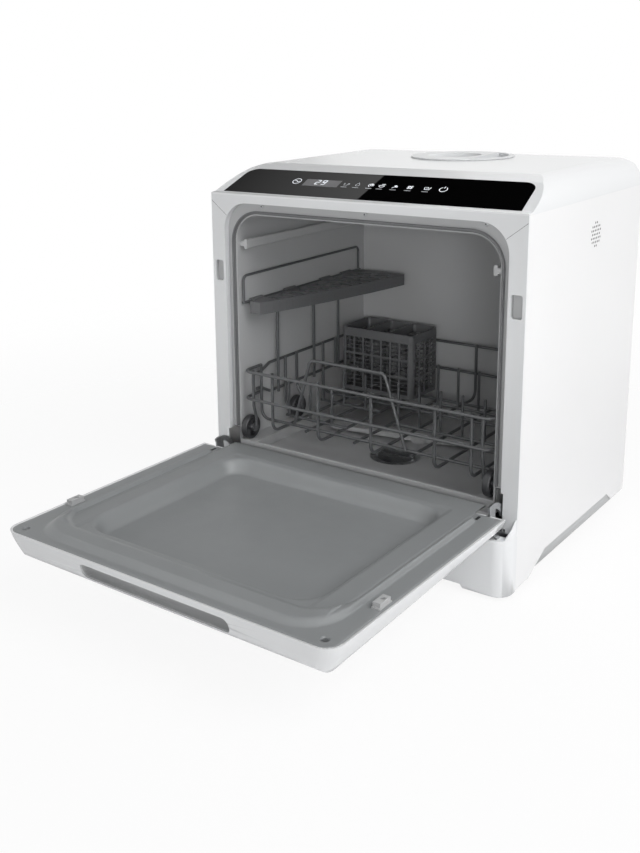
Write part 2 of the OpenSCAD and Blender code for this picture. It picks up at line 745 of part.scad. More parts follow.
// ---------- fill cap ----------
bowl_x = -12;
bowl_z = case_h + 40;
bowl_r = 52;
bar_x = 21;
module fill_cap() color("white") at_front() translate([0, port_y, 0]) difference() {
    union() {
        translate([0, 0, case_h - 6]) cylinder(h = 7, d = port_bore - 4 * gap, $fn = 96);
        translate([0, 0, case_h + gap]) cylinder(h = 1.6, d = port_d - 2, $fn = 96);
        // shell below the hand hollow
        intersection() {
            translate([bowl_x, 0, bowl_z]) sphere(r = bowl_r + 2, $fn = 64);
            box([-port_d, -port_d, case_h - 15], [bar_x + 2, port_d, case_h - 5]);
        }
    }
    // dished hand hollow and the narrow one beyond the grip bar
    intersection() {
        translate([bowl_x, 0, bowl_z]) sphere(r = bowl_r, $fn = 64);
        box([-port_d, -port_d, case_h - 20], [bar_x, port_d, case_h + 20]);
    }
    intersection() {
        translate([0, 0, case_h - 3]) cylinder(h = 10, d = port_d - 16, $fn = 96);
        box([bar_x + 6, -port_d, case_h - 4], [port_d, port_d, case_h + 8]);
    }
}

// ---------- hinge ----------
module hinge_brackets() color("silver") at_front() both_sides() {
    // plate that stands on the base tray and carries the pin
    along_x(bracket_x, bracket_x + bracket_t) {
        polygon([[hinge_y - 4, hinge_z - 2], [-13, hinge_z - 22], [-12, pan_floor],
            [40, pan_floor], [40, hinge_z - 30], [hinge_y + 4, hinge_z - 2]]);
        translate([hinge_y, hinge_z]) circle(7, $fn = 48);
    }
    // pin, with its head inside the arm and a collar outside it
    translate([0, hinge_y, hinge_z]) rotate([0, 90, 0]) {
        translate([0, 0, arm_x - 1]) cylinder(h = arm_t + 4, d = pin_d, $fn = 48);
        translate([0, 0, arm_x - 3]) cylinder(h = 2.5, d = 9, $fn = 48);
        translate([0, 0, arm_x + arm_t + 0.5]) cylinder(h = 2, d = 9, $fn = 48);
    }
    // foot that is screwed to the tray
    box([arm_x - 10, -11, pan_floor], [bracket_x + 1, 39, pan_floor + 2]);
}

horn_r0 = 22;
horn_r1 = 29;
module hinge_arms() color("silver") at_front() both_sides()
    along_x(arm_x, arm_x + arm_t) difference() {
        union() {
            translate([hinge_y, hinge_z]) {
                circle(8, $fn = 48);
                // curved horn that runs into the cabinet beside the tub
                intersection() {
                    difference() {
                        circle(horn_r1, $fn = 96);
                        circle(horn_r0, $fn = 96);
                    }
                    polygon([[0, 0], [60 * cos(20), 60 * sin(20)], [60, 60], [0, 80],
                        [60 * cos(110), 60 * sin(110)]]);
                }
                polygon([[-7, 3], [7, 3], [4, horn_r0 + 1], [-8, horn_r0]]);
            }
            // strap below the liner's rim
            polygon([[hinge_y - 8, hinge_z], [hinge_y, hinge_z + 13],
                [hinge_y - 6, rim_z - 3], [-86, rim_z - 3], [-86, rim_z - 12],
                [-46, rim_z - 20]]);
        }
        translate([hinge_y, hinge_z]) circle(pin_d / 2 + fit, $fn = 48);
    }

// ---------- door, drawn open ----------
skin_wall = 2.5;
module door_plan(grow, y0) {
    intersection() {
        rrect2([-half_w - grow, -door_reach - grow], [half_w + grow, 200], door_r + grow);
        translate([-half_w - 5, -door_reach - 5]) square([case_w + 10, door_reach + 5 + y0]);
    }
}

// Side view of the skin's outside, t inside its outer faces
module door_side(t, y1) {
    r = 14;
    bottom = rim_z - door_t;
    difference() {
        union() {
            polygon([[-door_reach + t, rim_z], [-door_reach + t, bottom + r],
                [-door_reach + r, bottom + t], [y1, heel_z + t + (y1 - door_end) * 0.02],
                [y1, rim_z]]);
            translate([-door_reach + r, bottom + r]) circle(r - t, $fn = 64);
        }
        translate([-600, rim_z]) square([700, 30]);
    }
}

module door_skin() color("white") at_front() {
    door_shell();
    // bosses that take the liner's screws
    both_sides() translate([hole_x, hole_y, rim_z - door_t + 1]) difference() {
        cylinder(h = door_t - 3.5, d = 9, $fn = 32);
        translate([0, 0, door_t - 9]) cylinder(h = 9, d = liner_screw_d + 2 * fit, $fn = 24);
    }
}

module door_shell() difference() {
    union() {
        intersection() {
            linear_extrude(200) door_plan(0, door_end);
            along_x(-half_w - 1, half_w + 1) door_side(0, door_end);
        }
        // heel that covers the slot above the plinth when the door is shut
        box([-half_mouth - 4, door_end - 1, heel_z],
            [half_mouth + 4, hinge_y + 8, heel_z + skin_wall]);
    }
    intersection() {
        translate([0, 0, 1]) linear_extrude(200) door_plan(-skin_wall, door_end - skin_wall);
        along_x(-half_w - 1, half_w + 1) difference() {
            union() {
                door_side(skin_wall, door_end - skin_wall);
                translate([-door_reach, rim_z - 1]) square([door_reach, 20]);
            }
        }
    }
    // bevelled lower side edges that thin towards the hinge
    both_sides() hull() {
        translate([half_w, -door_reach + 20, rim_z - door_t]) cube(0.02);
        translate([half_w + 20, -door_reach + 20, rim_z - door_t - 20]) cube(0.02);
        translate([half_w - 1.6, door_end + 1, rim_z - door_t - 20]) cube([22, 1, 29]);
        translate([half_w - 1.6, door_end + 1, rim_z - door_t - 20]) cube([1, 1, 20]);
    }
    // slots for the hinge arms in the end wall
    both_sides() box([arm_x - 1, door_end - skin_wall - 1, hinge_z - 16],
        [arm_x + arm_t + 1, door_end + 1, rim_z + 1]);
    // room for the lip of the liner
    box([-lip_x - gap, door_end - skin_wall - 1, rim_z - 4],
        [lip_x + gap, door_end + 1, rim_z + 1]);
    // opening of the hand grip
    along_y(-door_reach - 1, -door_reach + skin_wall + 1) grip_outline(0);
}

module grip_outline(grow) {
    rrect2([-grip_w / 2 - grow, rim_z - door_t + 10 - grow], [grip_w / 2 + grow, rim_z - 7 + grow],
        7 + grow);
}

grip_depth = 15;
module door_grip() color("darkgray") at_front() difference() {
    intersection() {
        along_y(-door_reach + skin_wall, -door_reach + skin_wall + grip_depth)
            grip_outline(1.5);
        along_x(-half_w, half_w) door_side(skin_wall, door_end);
    }
    // scoop: a long rounded trough
    intersection() {
        along_y(-door_reach - 5, -door_reach + skin_wall + grip_depth - 1.5) grip_outline(-0.5);
        translate([-grip_w, -door_reach - 6, rim_z - 8]) rotate([0, 90, 0])
            cylinder(h = 2 * grip_w, r = 21, $fn = 96);
    }
}

ridge_w = 8;
ridge_front_w = 36;
ridge_x = half_mouth + 9.2;
ridge_y = -door_reach + 13.5;
ridge_r = mouth_r + 9;
pan_x = half_mouth - track_w - 4;
pan_y = ridge_y + ridge_front_w;
pan_depth = 16;
pan_wall = 12;

// Outline of the ridge, with its sides and its front drawn in
module ridge_plan(side, front) intersection() {
    rrect2([-ridge_x + side, ridge_y + front], [ridge_x - side, case_d], ridge_r - side);
    translate([-half_w, -door_reach]) square([case_w, door_reach - 48]);
}

module door_liner() color("gray") at_front() difference() {
    union() {
        translate([0, 0, rim_z - liner_t]) linear_extrude(liner_t)
            door_plan(-skin_wall - gap, door_end - skin_wall - gap);
        // ridge that presses on the seal: narrow at the sides, broad and stepped in front
        translate([0, 0, rim_z - 1]) linear_extrude(ridge_h + 1 - ridge_step) difference() {
            ridge_plan(0, 0);
            ridge_plan(ridge_w, ridge_front_w);
        }
        translate([0, 0, rim_z]) linear_extrude(ridge_h) difference() {
            ridge_plan(1, 5);
            ridge_plan(ridge_w - 1, ridge_front_w - 5);
        }
        // tracks for the wheels, and the lip that bridges to the tub
        both_sides() box([pan_x, pan_y - 1, rim_z - 2], [lip_x, lip_y, track_z]);
        box([-lip_x, door_end - 12, rim_z - 4], [lip_x, lip_y, track_z]);
        // outside of the pan
        translate([0, 0, rim_z - pan_depth - liner_t]) linear_extrude(pan_depth)
            rrect2([-pan_x - 2, pan_y], [pan_x + 2, door_end - 8], 30);
    }
    // inside of the pan
    hull() {
        translate([0, 0, rim_z - pan_depth]) linear_extrude(1)
            rrect2([-pan_x + pan_wall, pan_y + pan_wall + 3], [pan_x - pan_wall, door_end - 26], 24);
        translate([0, 0, rim_z + 2]) linear_extrude(1)
            rrect2([-pan_x + 1, pan_y + 3], [pan_x - 1, door_end - 13], 30);
    }
    // screw holes near the free corners
    both_sides() translate([hole_x, hole_y, rim_z - 4]) cylinder(h = 9, d = 8, $fn = 32);
    // slots of the hinge cover
    both_sides() for (i = [0 : 2])
        box([half_mouth + 4, door_end - 46 + i * 15, rim_z - 4],
            [half_mouth + 7, door_end - 36 + i * 15, rim_z + 1]);
}

hole_x = half_w - 18;
hole_y = -door_reach + 16;

module door_screws() color("dimgray") at_front() both_sides()
    translate([hole_x, hole_y, rim_z - liner_t]) {
        translate([0, 0, -4]) cylinder(h = 4.8, d = liner_screw_d, $fn = 24);
        cylinder(h = 1.2, d = 7.4, $fn = 32);
    }

latch_w = 8;
latch_l = 18;
latch_h = 6;
latch_eye_d = 5;
module door_latches() color("silver") at_front() both_sides() difference() {
    union() {
        // low base, and the nose that enters the strike
        translate([strike_x - latch_w / 2 - 0.6, latch_y - latch_l / 2 - 1.5, rim_z])
            cube([latch_w + 1.2, latch_l + 3, 1.6]);
        translate([strike_x - latch_w / 2, latch_y - latch_l / 2, rim_z])
            cube([latch_w, latch_l, latch_h]);
    }
    translate([strike_x, latch_y + 2, rim_z + 0.8]) cylinder(h = latch_h + 2, d = latch_eye_d, $fn = 32);
}

// ---------- rack, drawn in ----------
module rack_floor() color("#4a4d50") at_front() {
    // lengthwise wires that turn up at both ends
    for (x = long_xs) wire([[x, rack_y0 + weld, floor_z + bend_r],
        [x, rack_y0 + weld, floor_z], [x, rack_y1 - weld, floor_z],
        [x, rack_y1 - weld, floor_z + bend_r]], bend_r - 0.001);
    for (x = mid_xs) rod([x, cross_ys[0] - 6, floor_z], [x, cross_ys[3] + 6, floor_z]);
    // crosswise wires on top of them
    for (y = cross_ys) wire([[-rack_x + weld, y, cross_z + bend_r],
        [-rack_x + weld, y, cross_z], [rack_x - weld, y, cross_z],
        [rack_x - weld, y, cross_z + bend_r]], bend_r - 0.001);
}

module rack_front() color("#4a4d50") at_front() {
    for (z = [rack_top, rack_low]) wire([[-rack_x, kink_y0 + 10, z], [-rack_x, rack_y0, z],
        [rack_x, rack_y0, z], [rack_x, kink_y0 + 10, z]]);
    for (x = long_xs) rod([x, rack_y0 + weld, floor_z + bend_r],
        [x, rack_y0 + weld, rack_top + 3]);
}

// One side of the rack: two cranked rails and the uprights inside them
module rack_side() {
    top_pts = [[rack_x, kink_y0, rack_top - 9], [rack_x, kink_y0 + 8, rack_top - 9],
        [rack_x, kink_y1, rack_top - 1], [rack_x, rack_y1 - bend_r, rack_top - 1]];
    low_pts = [[rack_x, kink_y0, rack_low + 6], [rack_x, kink_y0 + 8, rack_low + 6],
        [rack_x, kink_y1, rack_low - 4], [rack_x, rack_y1 - bend_r, rack_low - 4]];
    wire(top_pts, side_bend_r, beads = true);
    wire(low_pts, side_bend_r, beads = true);
    for (y = cross_ys) rod([rack_x - weld, y, cross_z + bend_r], [rack_x - weld, y, upright_top]);
    rod([rack_x - weld, side_y, rack_low - 6], [rack_x - weld, side_y, upright_top]);
}

module rack_left() color("#4a4d50") at_front() mirror([1, 0, 0]) rack_side();
module rack_right() color("#4a4d50") at_front() rack_side();

module rack_back() color("#4a4d50") at_front() {
    for (z = [rack_top - 1, rack_low - 4]) wire([[-rack_x, rack_y1 - bend_r, z],
        [-rack_x, rack_y1, z], [rack_x, rack_y1, z], [rack_x, rack_y1 - bend_r, z]],
        bend_r - 0.001);
    for (x = long_xs) rod([x, rack_y1 - weld, floor_z + bend_r], [x, rack_y1 - weld, upright_top]);
}

tine_z = 176;
tine_x0 = -8;
tine_x1 = rack_x - 31;
tine_pitch = (tine_x1 - tine_x0) / (tine_count - 1);
tine_rows = [for (u = [0.3885, 0.7626]) rack_y0 + u * rack_d];
cup_rows = [for (u = [0.216, 0.5036]) rack_y0 + u * rack_d];
cup_xs = [for (i = [0 : 2]) -rack_x + 27 + i * 34];
module tine(p, h) {
    rod(p, p + [0, 0, h - p[2]], tine_d);
    translate([p[0], p[1], h]) sphere(d = tine_d, $fn = 20);
}

module plate_tines() color("#4a4d50") at_front() {
    for (y = tine_rows) {
        rod([tine_x0 - 6, y, floor_z + weld], [tine_x1 + 6, y, floor_z + weld]);
        for (i = [0 : tine_count - 1])
            tine([tine_x0 + i * tine_pitch, y, floor_z + weld], tine_z);
    }
    // short tines for cups and glasses on the left
    for (y = cup_rows) {
        rod([cup_xs[0] - 4, y, floor_z + weld], [cup_xs[2] + 24, y, floor_z + weld]);
        for (x = cup_xs) tine([x, y, floor_z + weld], tine_z - 8);
    }
}

hoop_y = rack_y0 + 30;
hoop_z = 213;
module glass_hoop() color("#4a4d50") at_front()
    wire([[-116, hoop_y, floor_z + weld], [-90, hoop_y, hoop_z], [18, hoop_y, hoop_z],
        [48, hoop_y, floor_z + weld]], 9, beads = true);

module shelf_posts() color("#4a4d50") at_front() {
    for (y = post_ys) rod([-rack_x + weld, y, rack_low - 8], [-rack_x + weld, y, shelf_z]);
    // hinge wire, and the guard rail that stands on its ends
    rod([shelf_x, shelf_y0, shelf_z], [shelf_x, shelf_y1, shelf_z]);
    wire([[shelf_x - 1, shelf_y0 + 3, shelf_z], [shelf_x - 1, shelf_y0 + 3, shelf_z + guard_h],
        [shelf_x - 1, shelf_y1 - 3, shelf_z + guard_h],
        [shelf_x - 1, shelf_y1 - 3, shelf_z]], 7, 3.4);
}

// Each wheel hangs on a wire arm that ends in the wheel's pin
axle_x = wheel_x - wheel_w / 2 - 5;
pin_end = wheel_x + wheel_w / 2;
module wheel_axles() color("#4a4d50") at_front() both_sides() for (y = wheel_ys) {
    front = y == wheel_ys[0];
    top = [front ? axle_x : rack_x - weld, front ? rack_y0 + weld : y, upright_top];
    wire([top, [top[0], top[1], wheel_z + 31], [axle_x, y, wheel_z + 14],
        [axle_x, y, wheel_z], [pin_end + 1, y, wheel_z]], axle_bend_r, beads = true);
    // sleeve inside the wheel and the cap outside it
    rod([axle_x + 0.6, y, wheel_z], [wheel_x - wheel_w / 2 - gap, y, wheel_z], wheel_hub_d);
    rod([pin_end + gap, y, wheel_z], [pin_end + 1.4, y, wheel_z], 7);
}

module wheel(side, y) color("#2b2b2d") at_front()
    translate([side * wheel_x, y, wheel_z]) rotate([0, 90, 0]) translate([0, 0, -wheel_w / 2])
    difference() {
        union() {
            difference() {
                cylinder(h = wheel_w, d = wheel_d, $fn = 64);
                translate([0, 0, -1]) cylinder(h = wheel_w + 2, d = wheel_d - 2 * tyre_t, $fn = 64);
            }
            cylinder(h = wheel_w, d = wheel_hub_d, $fn = 48);
            for (i = [0 : spokes - 1]) rotate([0, 0, i * 360 / spokes])
                translate([4, -spoke_t / 2, 1]) cube([wheel_d / 2 - 6, spoke_t, wheel_w - 2]);
        }
        translate([0, 0, -1]) cylinder(h = wheel_w + 2, d = wire_d + 2 * fit, $fn = 32);
    }

module cup_shelf() color("#55585c") at_front() difference() {
    union() {
        box([shelf_x + shelf_in, shelf_y0 + shelf_end, shelf_z - 1],
            [shelf_x + shelf_w, shelf_y1 - shelf_end, shelf_z + 1.5]);
        // skirt along the free edge and both ends
        difference() {
            box([shelf_x + shelf_in, shelf_y0 + shelf_end, shelf_z - skirt_h],
                [shelf_x + shelf_w, shelf_y1 - shelf_end, shelf_z]);
            box([shelf_x + 2, shelf_y0 + shelf_end + shelf_t, shelf_z - 40],
                [shelf_x + shelf_w - shelf_t, shelf_y1 - shelf_end - shelf_t, shelf_z + 1]);
        }
        // sleeves on the hinge wire
        for (y = sleeve_ys) translate([shelf_x, y, shelf_z]) rotate([-90, 0, 0])
            cylinder(h = sleeve_l, d = 7.6, $fn = 32);
        for (y = sleeve_ys) box([shelf_x, y, shelf_z - 1], [shelf_x + 8, y + sleeve_l, shelf_z + 1.5]);
    }
    for (y = sleeve_ys) translate([shelf_x, y - 1, shelf_z]) rotate([-90, 0, 0])
        cylinder(h = sleeve_l + 2, d = wire_d + 2 * fit, $fn = 32);
    // drain slots
    for (i = [0 : floor((shelf_y1 - shelf_y0 - 56) / 19.5)], j = [0 : 1])
        box([shelf_x + 16 + j * 34, shelf_y0 + 20 + i * 19.5, shelf_z - 2],
            [shelf_x + 42 + j * 34, shelf_y0 + 30 + i * 19.5, shelf_z + 3]);
}

sleeve_l = 22;
sleeve_ys = [for (u = [0.0791, 0.3237, 0.6403, 0.7986]) rack_y0 + u * rack_d];

module cutlery_basket() color("#3f4245") at_front() difference() {
    translate([0, 0, basket_z]) linear_extrude(basket_h)
        rrect2([basket_x0, basket_y0], [basket_x1, basket_y1], 6);
    // cells
    for (i = [0 : 2]) {
        cell = (basket_x1 - basket_x0 - 4 * basket_t) / 3;
        x = basket_x0 + basket_t + i * (cell + basket_t);
        translate([0, 0, basket_z + basket_t]) linear_extrude(basket_h)
            rrect2([x, basket_y0 + basket_t], [x + cell, basket_y1 - basket_t], 4);
    }
    // windows in the long walls, below a closed rim
    for (i = [0 : slots_x - 1], j = [1 : slots_z]) {
        x = (basket_x0 + basket_x1 - slots_x * slot_pitch + slot_pitch - slot_w) / 2 + i * slot_pitch;
        z = basket_z + basket_h - basket_rim - j * slot_rise;
        box([x, basket_y0 - 1, z], [x + slot_w, basket_y1 + 1, z + slot_h]);
    }
    // windows in the end walls
    for (i = [0 : slots_y - 1], j = [1 : slots_z], x = [basket_x0, basket_x1]) {
        y = (basket_y0 + basket_y1 - slots_y * slot_pitch + slot_pitch - slot_w) / 2 + i * slot_pitch;
        z = basket_z + basket_h - basket_rim - j * slot_rise;
        box([x - basket_t - 0.5, y, z], [x + basket_t + 0.5, y + slot_w, z + slot_h]);
    }
}

base_pan();
rubber_feet();
plinth();
left_side_panel();
right_side_panel();
back_panel();
top_cover();
front_frame();
control_glass();
display_module();
control_board();
tub();
door_seal();
flange_screws();
left_upper_rail();
right_upper_rail();
strike_pockets();
sump();
wash_pump();
drain_pump();
heater();
water_tank();
fill_neck();
drying_fan();
inlet_connector();
drain_connector();
power_gland();
spray_post();
hinge_brackets();
spray_arm();
filter();
fill_cap();
door_skin();
door_liner();
door_grip();
door_latches();
hinge_arms();
door_screws();
rack_floor();
rack_front();
rack_left();
rack_right();
rack_back();
plate_tines();
glass_hoop();
shelf_posts();
wheel_axles();
wheel(-1, wheel_ys[0]);  // wheel_fl
wheel(1, wheel_ys[0]);  // wheel_fr
wheel(-1, wheel_ys[1]);  // wheel_ml
wheel(1, wheel_ys[1]);  // wheel_mr
wheel(-1, wheel_ys[2]);  // wheel_rl
wheel(1, wheel_ys[2]);  // wheel_rr
cup_shelf();
cutlery_basket();
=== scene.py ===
"""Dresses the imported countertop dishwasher.

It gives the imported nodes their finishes, and adds the lit panel, the softened door skin, the moulded door
liner, the wheels, the seal, the basket's grid, the cup shelf and the small fittings.
Every size is in metres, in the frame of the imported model: the front faces -Y and +Z is up.
The door is open and the rack is in at rest.
"""
import math

import bmesh
import bpy
from mathutils import Matrix, Vector


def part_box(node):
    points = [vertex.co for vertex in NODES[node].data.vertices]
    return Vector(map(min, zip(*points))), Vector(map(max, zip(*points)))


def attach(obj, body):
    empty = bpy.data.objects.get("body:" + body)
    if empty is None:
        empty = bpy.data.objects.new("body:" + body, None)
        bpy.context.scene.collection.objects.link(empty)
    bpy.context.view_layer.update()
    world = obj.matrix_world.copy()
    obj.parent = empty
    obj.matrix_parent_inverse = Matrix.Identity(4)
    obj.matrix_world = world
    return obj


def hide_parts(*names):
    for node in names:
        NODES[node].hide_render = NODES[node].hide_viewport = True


bl_info = {
    "name": "Countertop dishwasher dresser",
    "version": (1, 0, 0),
    "blender": (4, 5, 0),
    "location": "View3D > Sidebar > Dishwasher",
    "description": "Builds the finishes and fine pieces of a countertop dishwasher on its packed frame",
    "category": "Object",
}

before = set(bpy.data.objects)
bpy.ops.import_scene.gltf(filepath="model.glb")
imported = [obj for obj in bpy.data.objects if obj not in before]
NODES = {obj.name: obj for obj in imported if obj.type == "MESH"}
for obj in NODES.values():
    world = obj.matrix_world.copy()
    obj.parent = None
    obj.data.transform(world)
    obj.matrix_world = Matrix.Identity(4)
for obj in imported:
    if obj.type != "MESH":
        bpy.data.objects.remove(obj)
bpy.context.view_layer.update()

MM = 0.001


def mm(*lengths):
    """Millimetres as metres."""
    return tuple(n * MM for n in lengths)


# ---------- places taken from the frame ----------
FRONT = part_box("front_frame")[0].y
COVER_LOW, COVER_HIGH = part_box("top_cover")
LINER_LOW, LINER_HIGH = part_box("door_liner")
SKIN_LOW, SKIN_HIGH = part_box("door_skin")
HINGE_END = FRONT - 31.8 * MM
WHEELS = [f"wheel_{end}{side}" for end in "fmr" for side in "lr"]


# ---------- settings a user would change ----------
def tint(name, text, rgb):
    return bpy.props.FloatVectorProperty(
        name=name, description=text, default=rgb, size=3, min=0.0, max=1.0, subtype="COLOR"
    )


def length(name, text, size):
    return bpy.props.FloatProperty(
        name=name, description=text, default=size * MM, subtype="DISTANCE", unit="LENGTH"
    )


def lamp_power(name, text, watts):
    return bpy.props.FloatProperty(name=name, description=text, default=watts, unit="POWER")


class FinishSettings(bpy.types.PropertyGroup):
    """Colours of the machine's mouldings, sheet and wire"""

    white: tint("White moulding", "Glossy white of cover, plinth and door", (0.80, 0.81, 0.82))
    sheet: tint("Painted sheet", "White paint of the sides and back", (0.84, 0.84, 0.845))
    # also laid on the fill cap, where its darker tone is painted shade of the cap's dished top
    trim: tint("Front frame", "Silver-white of the front frame", (0.70, 0.71, 0.72))
    # the tub's grey is the liner's plastic made lighter: painted light against the shade inside the tub
    tub: tint("Tub", "Grey of the tub's inside", (0.44, 0.445, 0.45))
    liner: tint("Door liner", "Grey of the door's inner face", (0.25, 0.26, 0.265))
    light: tint("Fittings", "Light grey of rails, latches and grip", (0.46, 0.465, 0.47))
    wire: tint("Wire coating", "Dark grey coating of the rack", (0.085, 0.088, 0.092))
    mid: tint("Shelf and basket", "Mid grey of the cup shelf and the cutlery basket", (0.12, 0.122, 0.126))
    dark: tint("Dark moulding", "Dark grey of wheels and fan", (0.035, 0.036, 0.039))
    glow: tint("Panel lights", "Colour of the lit icons", (0.92, 0.95, 1.0))


class PanelSettings(bpy.types.PropertyGroup):
    """Icons of the control panel"""

    stroke: length("Stroke", "Width of an icon's lines", 0.6)
    icon: length("Icon size", "Height of a programme icon", 8.0)
    digits: length("Digit height", "Height of the display's digits", 9.0)


class LinerSettings(bpy.types.PropertyGroup):
    """Moulded inner face of the door"""

    ridge_front: length("Front ridge width", "Width of the ridge along the free edge", 36.0)
    ridge_side: length("Side ridge width", "Width of the ridge along the sides", 8.0)
    wall: length("Wall thickness", "Thickness of the moulding", 2.2)
    grid: length("Mesh pitch", "Spacing of the moulding's mesh", 2.5)


class OutsideSettings(bpy.types.PropertyGroup):
    """Softened edges of the door skin, the grip and the plinth"""

    hinge_edge: length("Hinge edge", "Height of the door's side edge at the hinge", 10.0)
    plinth_corner: length("Plinth corner", "Radius of the plinth's upright corners", 18.0)
    side_bevel: length("Side bevel", "How far the door's outer face lies inside its side edges", 16.0)
    front_bevel: length("Front bevel", "How far the door's outer face lies behind its free edge", 11.0)


class ShelfSettings(bpy.types.PropertyGroup):
    """Cup shelf"""

    near_width: length("Near width", "Width of the shelf at its near end", 22.0)
    far_width: length("Far width", "Width of the shelf at its far end", 78.0)
    edge: length("Skirt", "Height of the skirt", 15.5)


class StageSettings(bpy.types.PropertyGroup):
    """Floor, lights and room"""

    floor: tint("Floor", "Colour of the floor", (0.93, 0.93, 0.935))
    key_power: lamp_power("Key light", "Power of the main soft light", 37.0)
    fill_power: lamp_power("Fill light", "Power of the fill light", 1.3)
    tub_power: lamp_power("Tub light", "Power of the light into the tub", 0.26)
    room: bpy.props.FloatProperty(
        name="Room light", description="Strength of the even room light", default=0.47
    )


# ---------- shader helpers ----------
NOISE_SPAN = (0.3, 0.7)  # where most values of a noise lie
SHADE_SCALE, GLOSS_SCALE = 9.0, 26.0
GRAIN_DEPTH = 0.4 * MM
COAT_ROUGH = 0.08
BRUSH_STRETCH, BRUSH_SCALE = (1, 40, 40), 60.0


def fresh_material(name):
    mat = bpy.data.materials.new(name)
    mat.use_nodes = True
    return mat, mat.node_tree, mat.node_tree.nodes["Principled BSDF"]


def fill(node, values):
    """Sets a node's sockets, or its settings, by their names."""
    for key, value in values.items():
        if key in node.inputs:
            node.inputs[key].default_value = value
        else:
            setattr(node, key, value)


def add_node(tree, kind, **values):
    node = tree.nodes.new(kind)
    fill(node, values)
    return node


def join(tree, *pairs):
    """Links each output to the input it is paired with."""
    for output, target in pairs:
        tree.links.new(output, target)


def noise_at(tree, scale, detail=3.0):
    place = add_node(tree, "ShaderNodeTexCoord")
    grain = add_node(tree, "ShaderNodeTexNoise", Scale=scale, Detail=detail)
    join(tree, (place.outputs["Object"], grain.inputs["Vector"]))
    return grain.outputs["Fac"]


def graded(tree, value, start, end, low=0.0, high=1.0, **settings):
    """Goes from low to high while the value runs from start to end."""
    ramp = add_node(tree, "ShaderNodeMapRange", **settings)
    fill(ramp, {"From Min": start, "From Max": end, "To Min": low, "To Max": high})
    join(tree, (value, ramp.inputs["Value"]))
    return ramp.outputs["Result"]


def uneven_gloss(tree, shader, noise, low, high):
    join(tree, (graded(tree, noise, *NOISE_SPAN, low, high), shader.inputs["Roughness"]))


def shade_variation(tree, shader, rgb, spread, scale):
    """Breaks up the colour softly, so that no surface is one flat tone."""
    mix = add_node(tree, "ShaderNodeMix", data_type="RGBA")
    factor, first, second, result = mix.inputs[0], mix.inputs[6], mix.inputs[7], mix.outputs[2]
    first.default_value = (*[c * (1 - spread) for c in rgb], 1)
    second.default_value = (*[min(1, c * (1 + spread)) for c in rgb], 1)
    join(tree, (noise_at(tree, scale), factor), (result, shader.inputs["Base Color"]))


def grain_bump(tree, shader, scale, strength, edge):
    """Fine surface grain, over softly rounded edges where an edge radius is given."""
    bump = add_node(tree, "ShaderNodeBump", Strength=strength, Distance=GRAIN_DEPTH)
    join(tree, (noise_at(tree, scale, 4.0), bump.inputs["Height"]),
         (bump.outputs["Normal"], shader.inputs["Normal"]))
    if edge:
        rounding = add_node(tree, "ShaderNodeBevel", Radius=edge, samples=4)
        join(tree, (rounding.outputs["Normal"], bump.inputs["Normal"]))


def moulded(name, rgb, rough, coat=0.0, grain=900, strength=0.12, edge=0.8 * MM, spread=0.03):
    """Moulded plastic with a fine grain. An edge radius gives it soft edges and an uneven gloss."""
    mat, tree, shader = fresh_material(name)
    shade_variation(tree, shader, rgb, spread, SHADE_SCALE)
    if edge:
        uneven_gloss(tree, shader, noise_at(tree, GLOSS_SCALE), rough * 0.85, rough * 1.15)
    else:
        fill(shader, {"Roughness": rough})
    fill(shader, {"Coat Weight": coat, "Coat Roughness": COAT_ROUGH})
    grain_bump(tree, shader, grain, strength, edge)
    return mat


def brushed(name, rgb, rough):
    """Stamped metal with fine lines along X."""
    mat, tree, shader = fresh_material(name)
    place = add_node(tree, "ShaderNodeTexCoord")
    lay = add_node(tree, "ShaderNodeMapping", Scale=BRUSH_STRETCH)
    lines = add_node(tree, "ShaderNodeTexNoise", Scale=BRUSH_SCALE, Detail=3.0)
    join(tree, (place.outputs["Object"], lay.inputs["Vector"]),
         (lay.outputs["Vector"], lines.inputs["Vector"]))
    shade_variation(tree, shader, rgb, 0.06, 30.0)
    uneven_gloss(tree, shader, lines.outputs["Fac"], rough * 0.7, rough * 1.3)
    fill(shader, {"Metallic": 1.0})
    return mat


def black_glass(name, rgb):
    mat, tree, shader = fresh_material(name)
    shade_variation(tree, shader, rgb, 0.2, 5.0)
    uneven_gloss(tree, shader, noise_at(tree, 18.0), 0.006, 0.014)
    fill(shader, {"Coat Weight": 0.6, "Coat Roughness": 0.01})
    return mat


def glowing(name, rgb, strength):
    mat, _, shader = fresh_material(name)
    fill(shader, {"Base Color": (*rgb, 1), "Emission Color": (*rgb, 1), "Emission Strength": strength,
                  "Roughness": 0.4})
    return mat


# ---------- mesh helpers ----------
FLAT = 0
finish = {}


def linked(name, data):
    made = bpy.data.objects.new(name, data)
    bpy.context.scene.collection.objects.link(made)
    return made


def place_piece(name, mesh, body, slot, look, smooth=35):
    """Links a mesh as a piece that rides on a body, smoothed up to an angle or left flat."""
    mesh.materials.clear()
    mesh.materials.append(finish[look])
    piece = linked(name, mesh)
    if smooth == FLAT:
        mesh.shade_flat()
    else:
        mesh.shade_smooth()
        mesh.set_sharp_from_angle(angle=math.radians(smooth))
    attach(piece, body)
    return piece


def place_parts(name, parts, *where, smooth=35):
    """One piece from several (vertices, faces) parts."""
    return place_piece(name, merged(name, parts), *where, smooth=smooth)


def mesh_of(name, verts, faces):
    mesh = bpy.data.meshes.new(name)
    mesh.from_pydata([tuple(v) for v in verts], [], faces)
    mesh.validate()
    made = bmesh.new()
    made.from_mesh(mesh)
    bmesh.ops.recalc_face_normals(made, faces=made.faces)
    made.to_mesh(mesh)
    made.free()
    return mesh


def merged(name, parts):
    verts, faces = [], []
    for part_verts, part_faces in parts:
        start = len(verts)
        verts += part_verts
        faces += [tuple(i + start for i in face) for face in part_faces]
    return mesh_of(name, verts, faces)


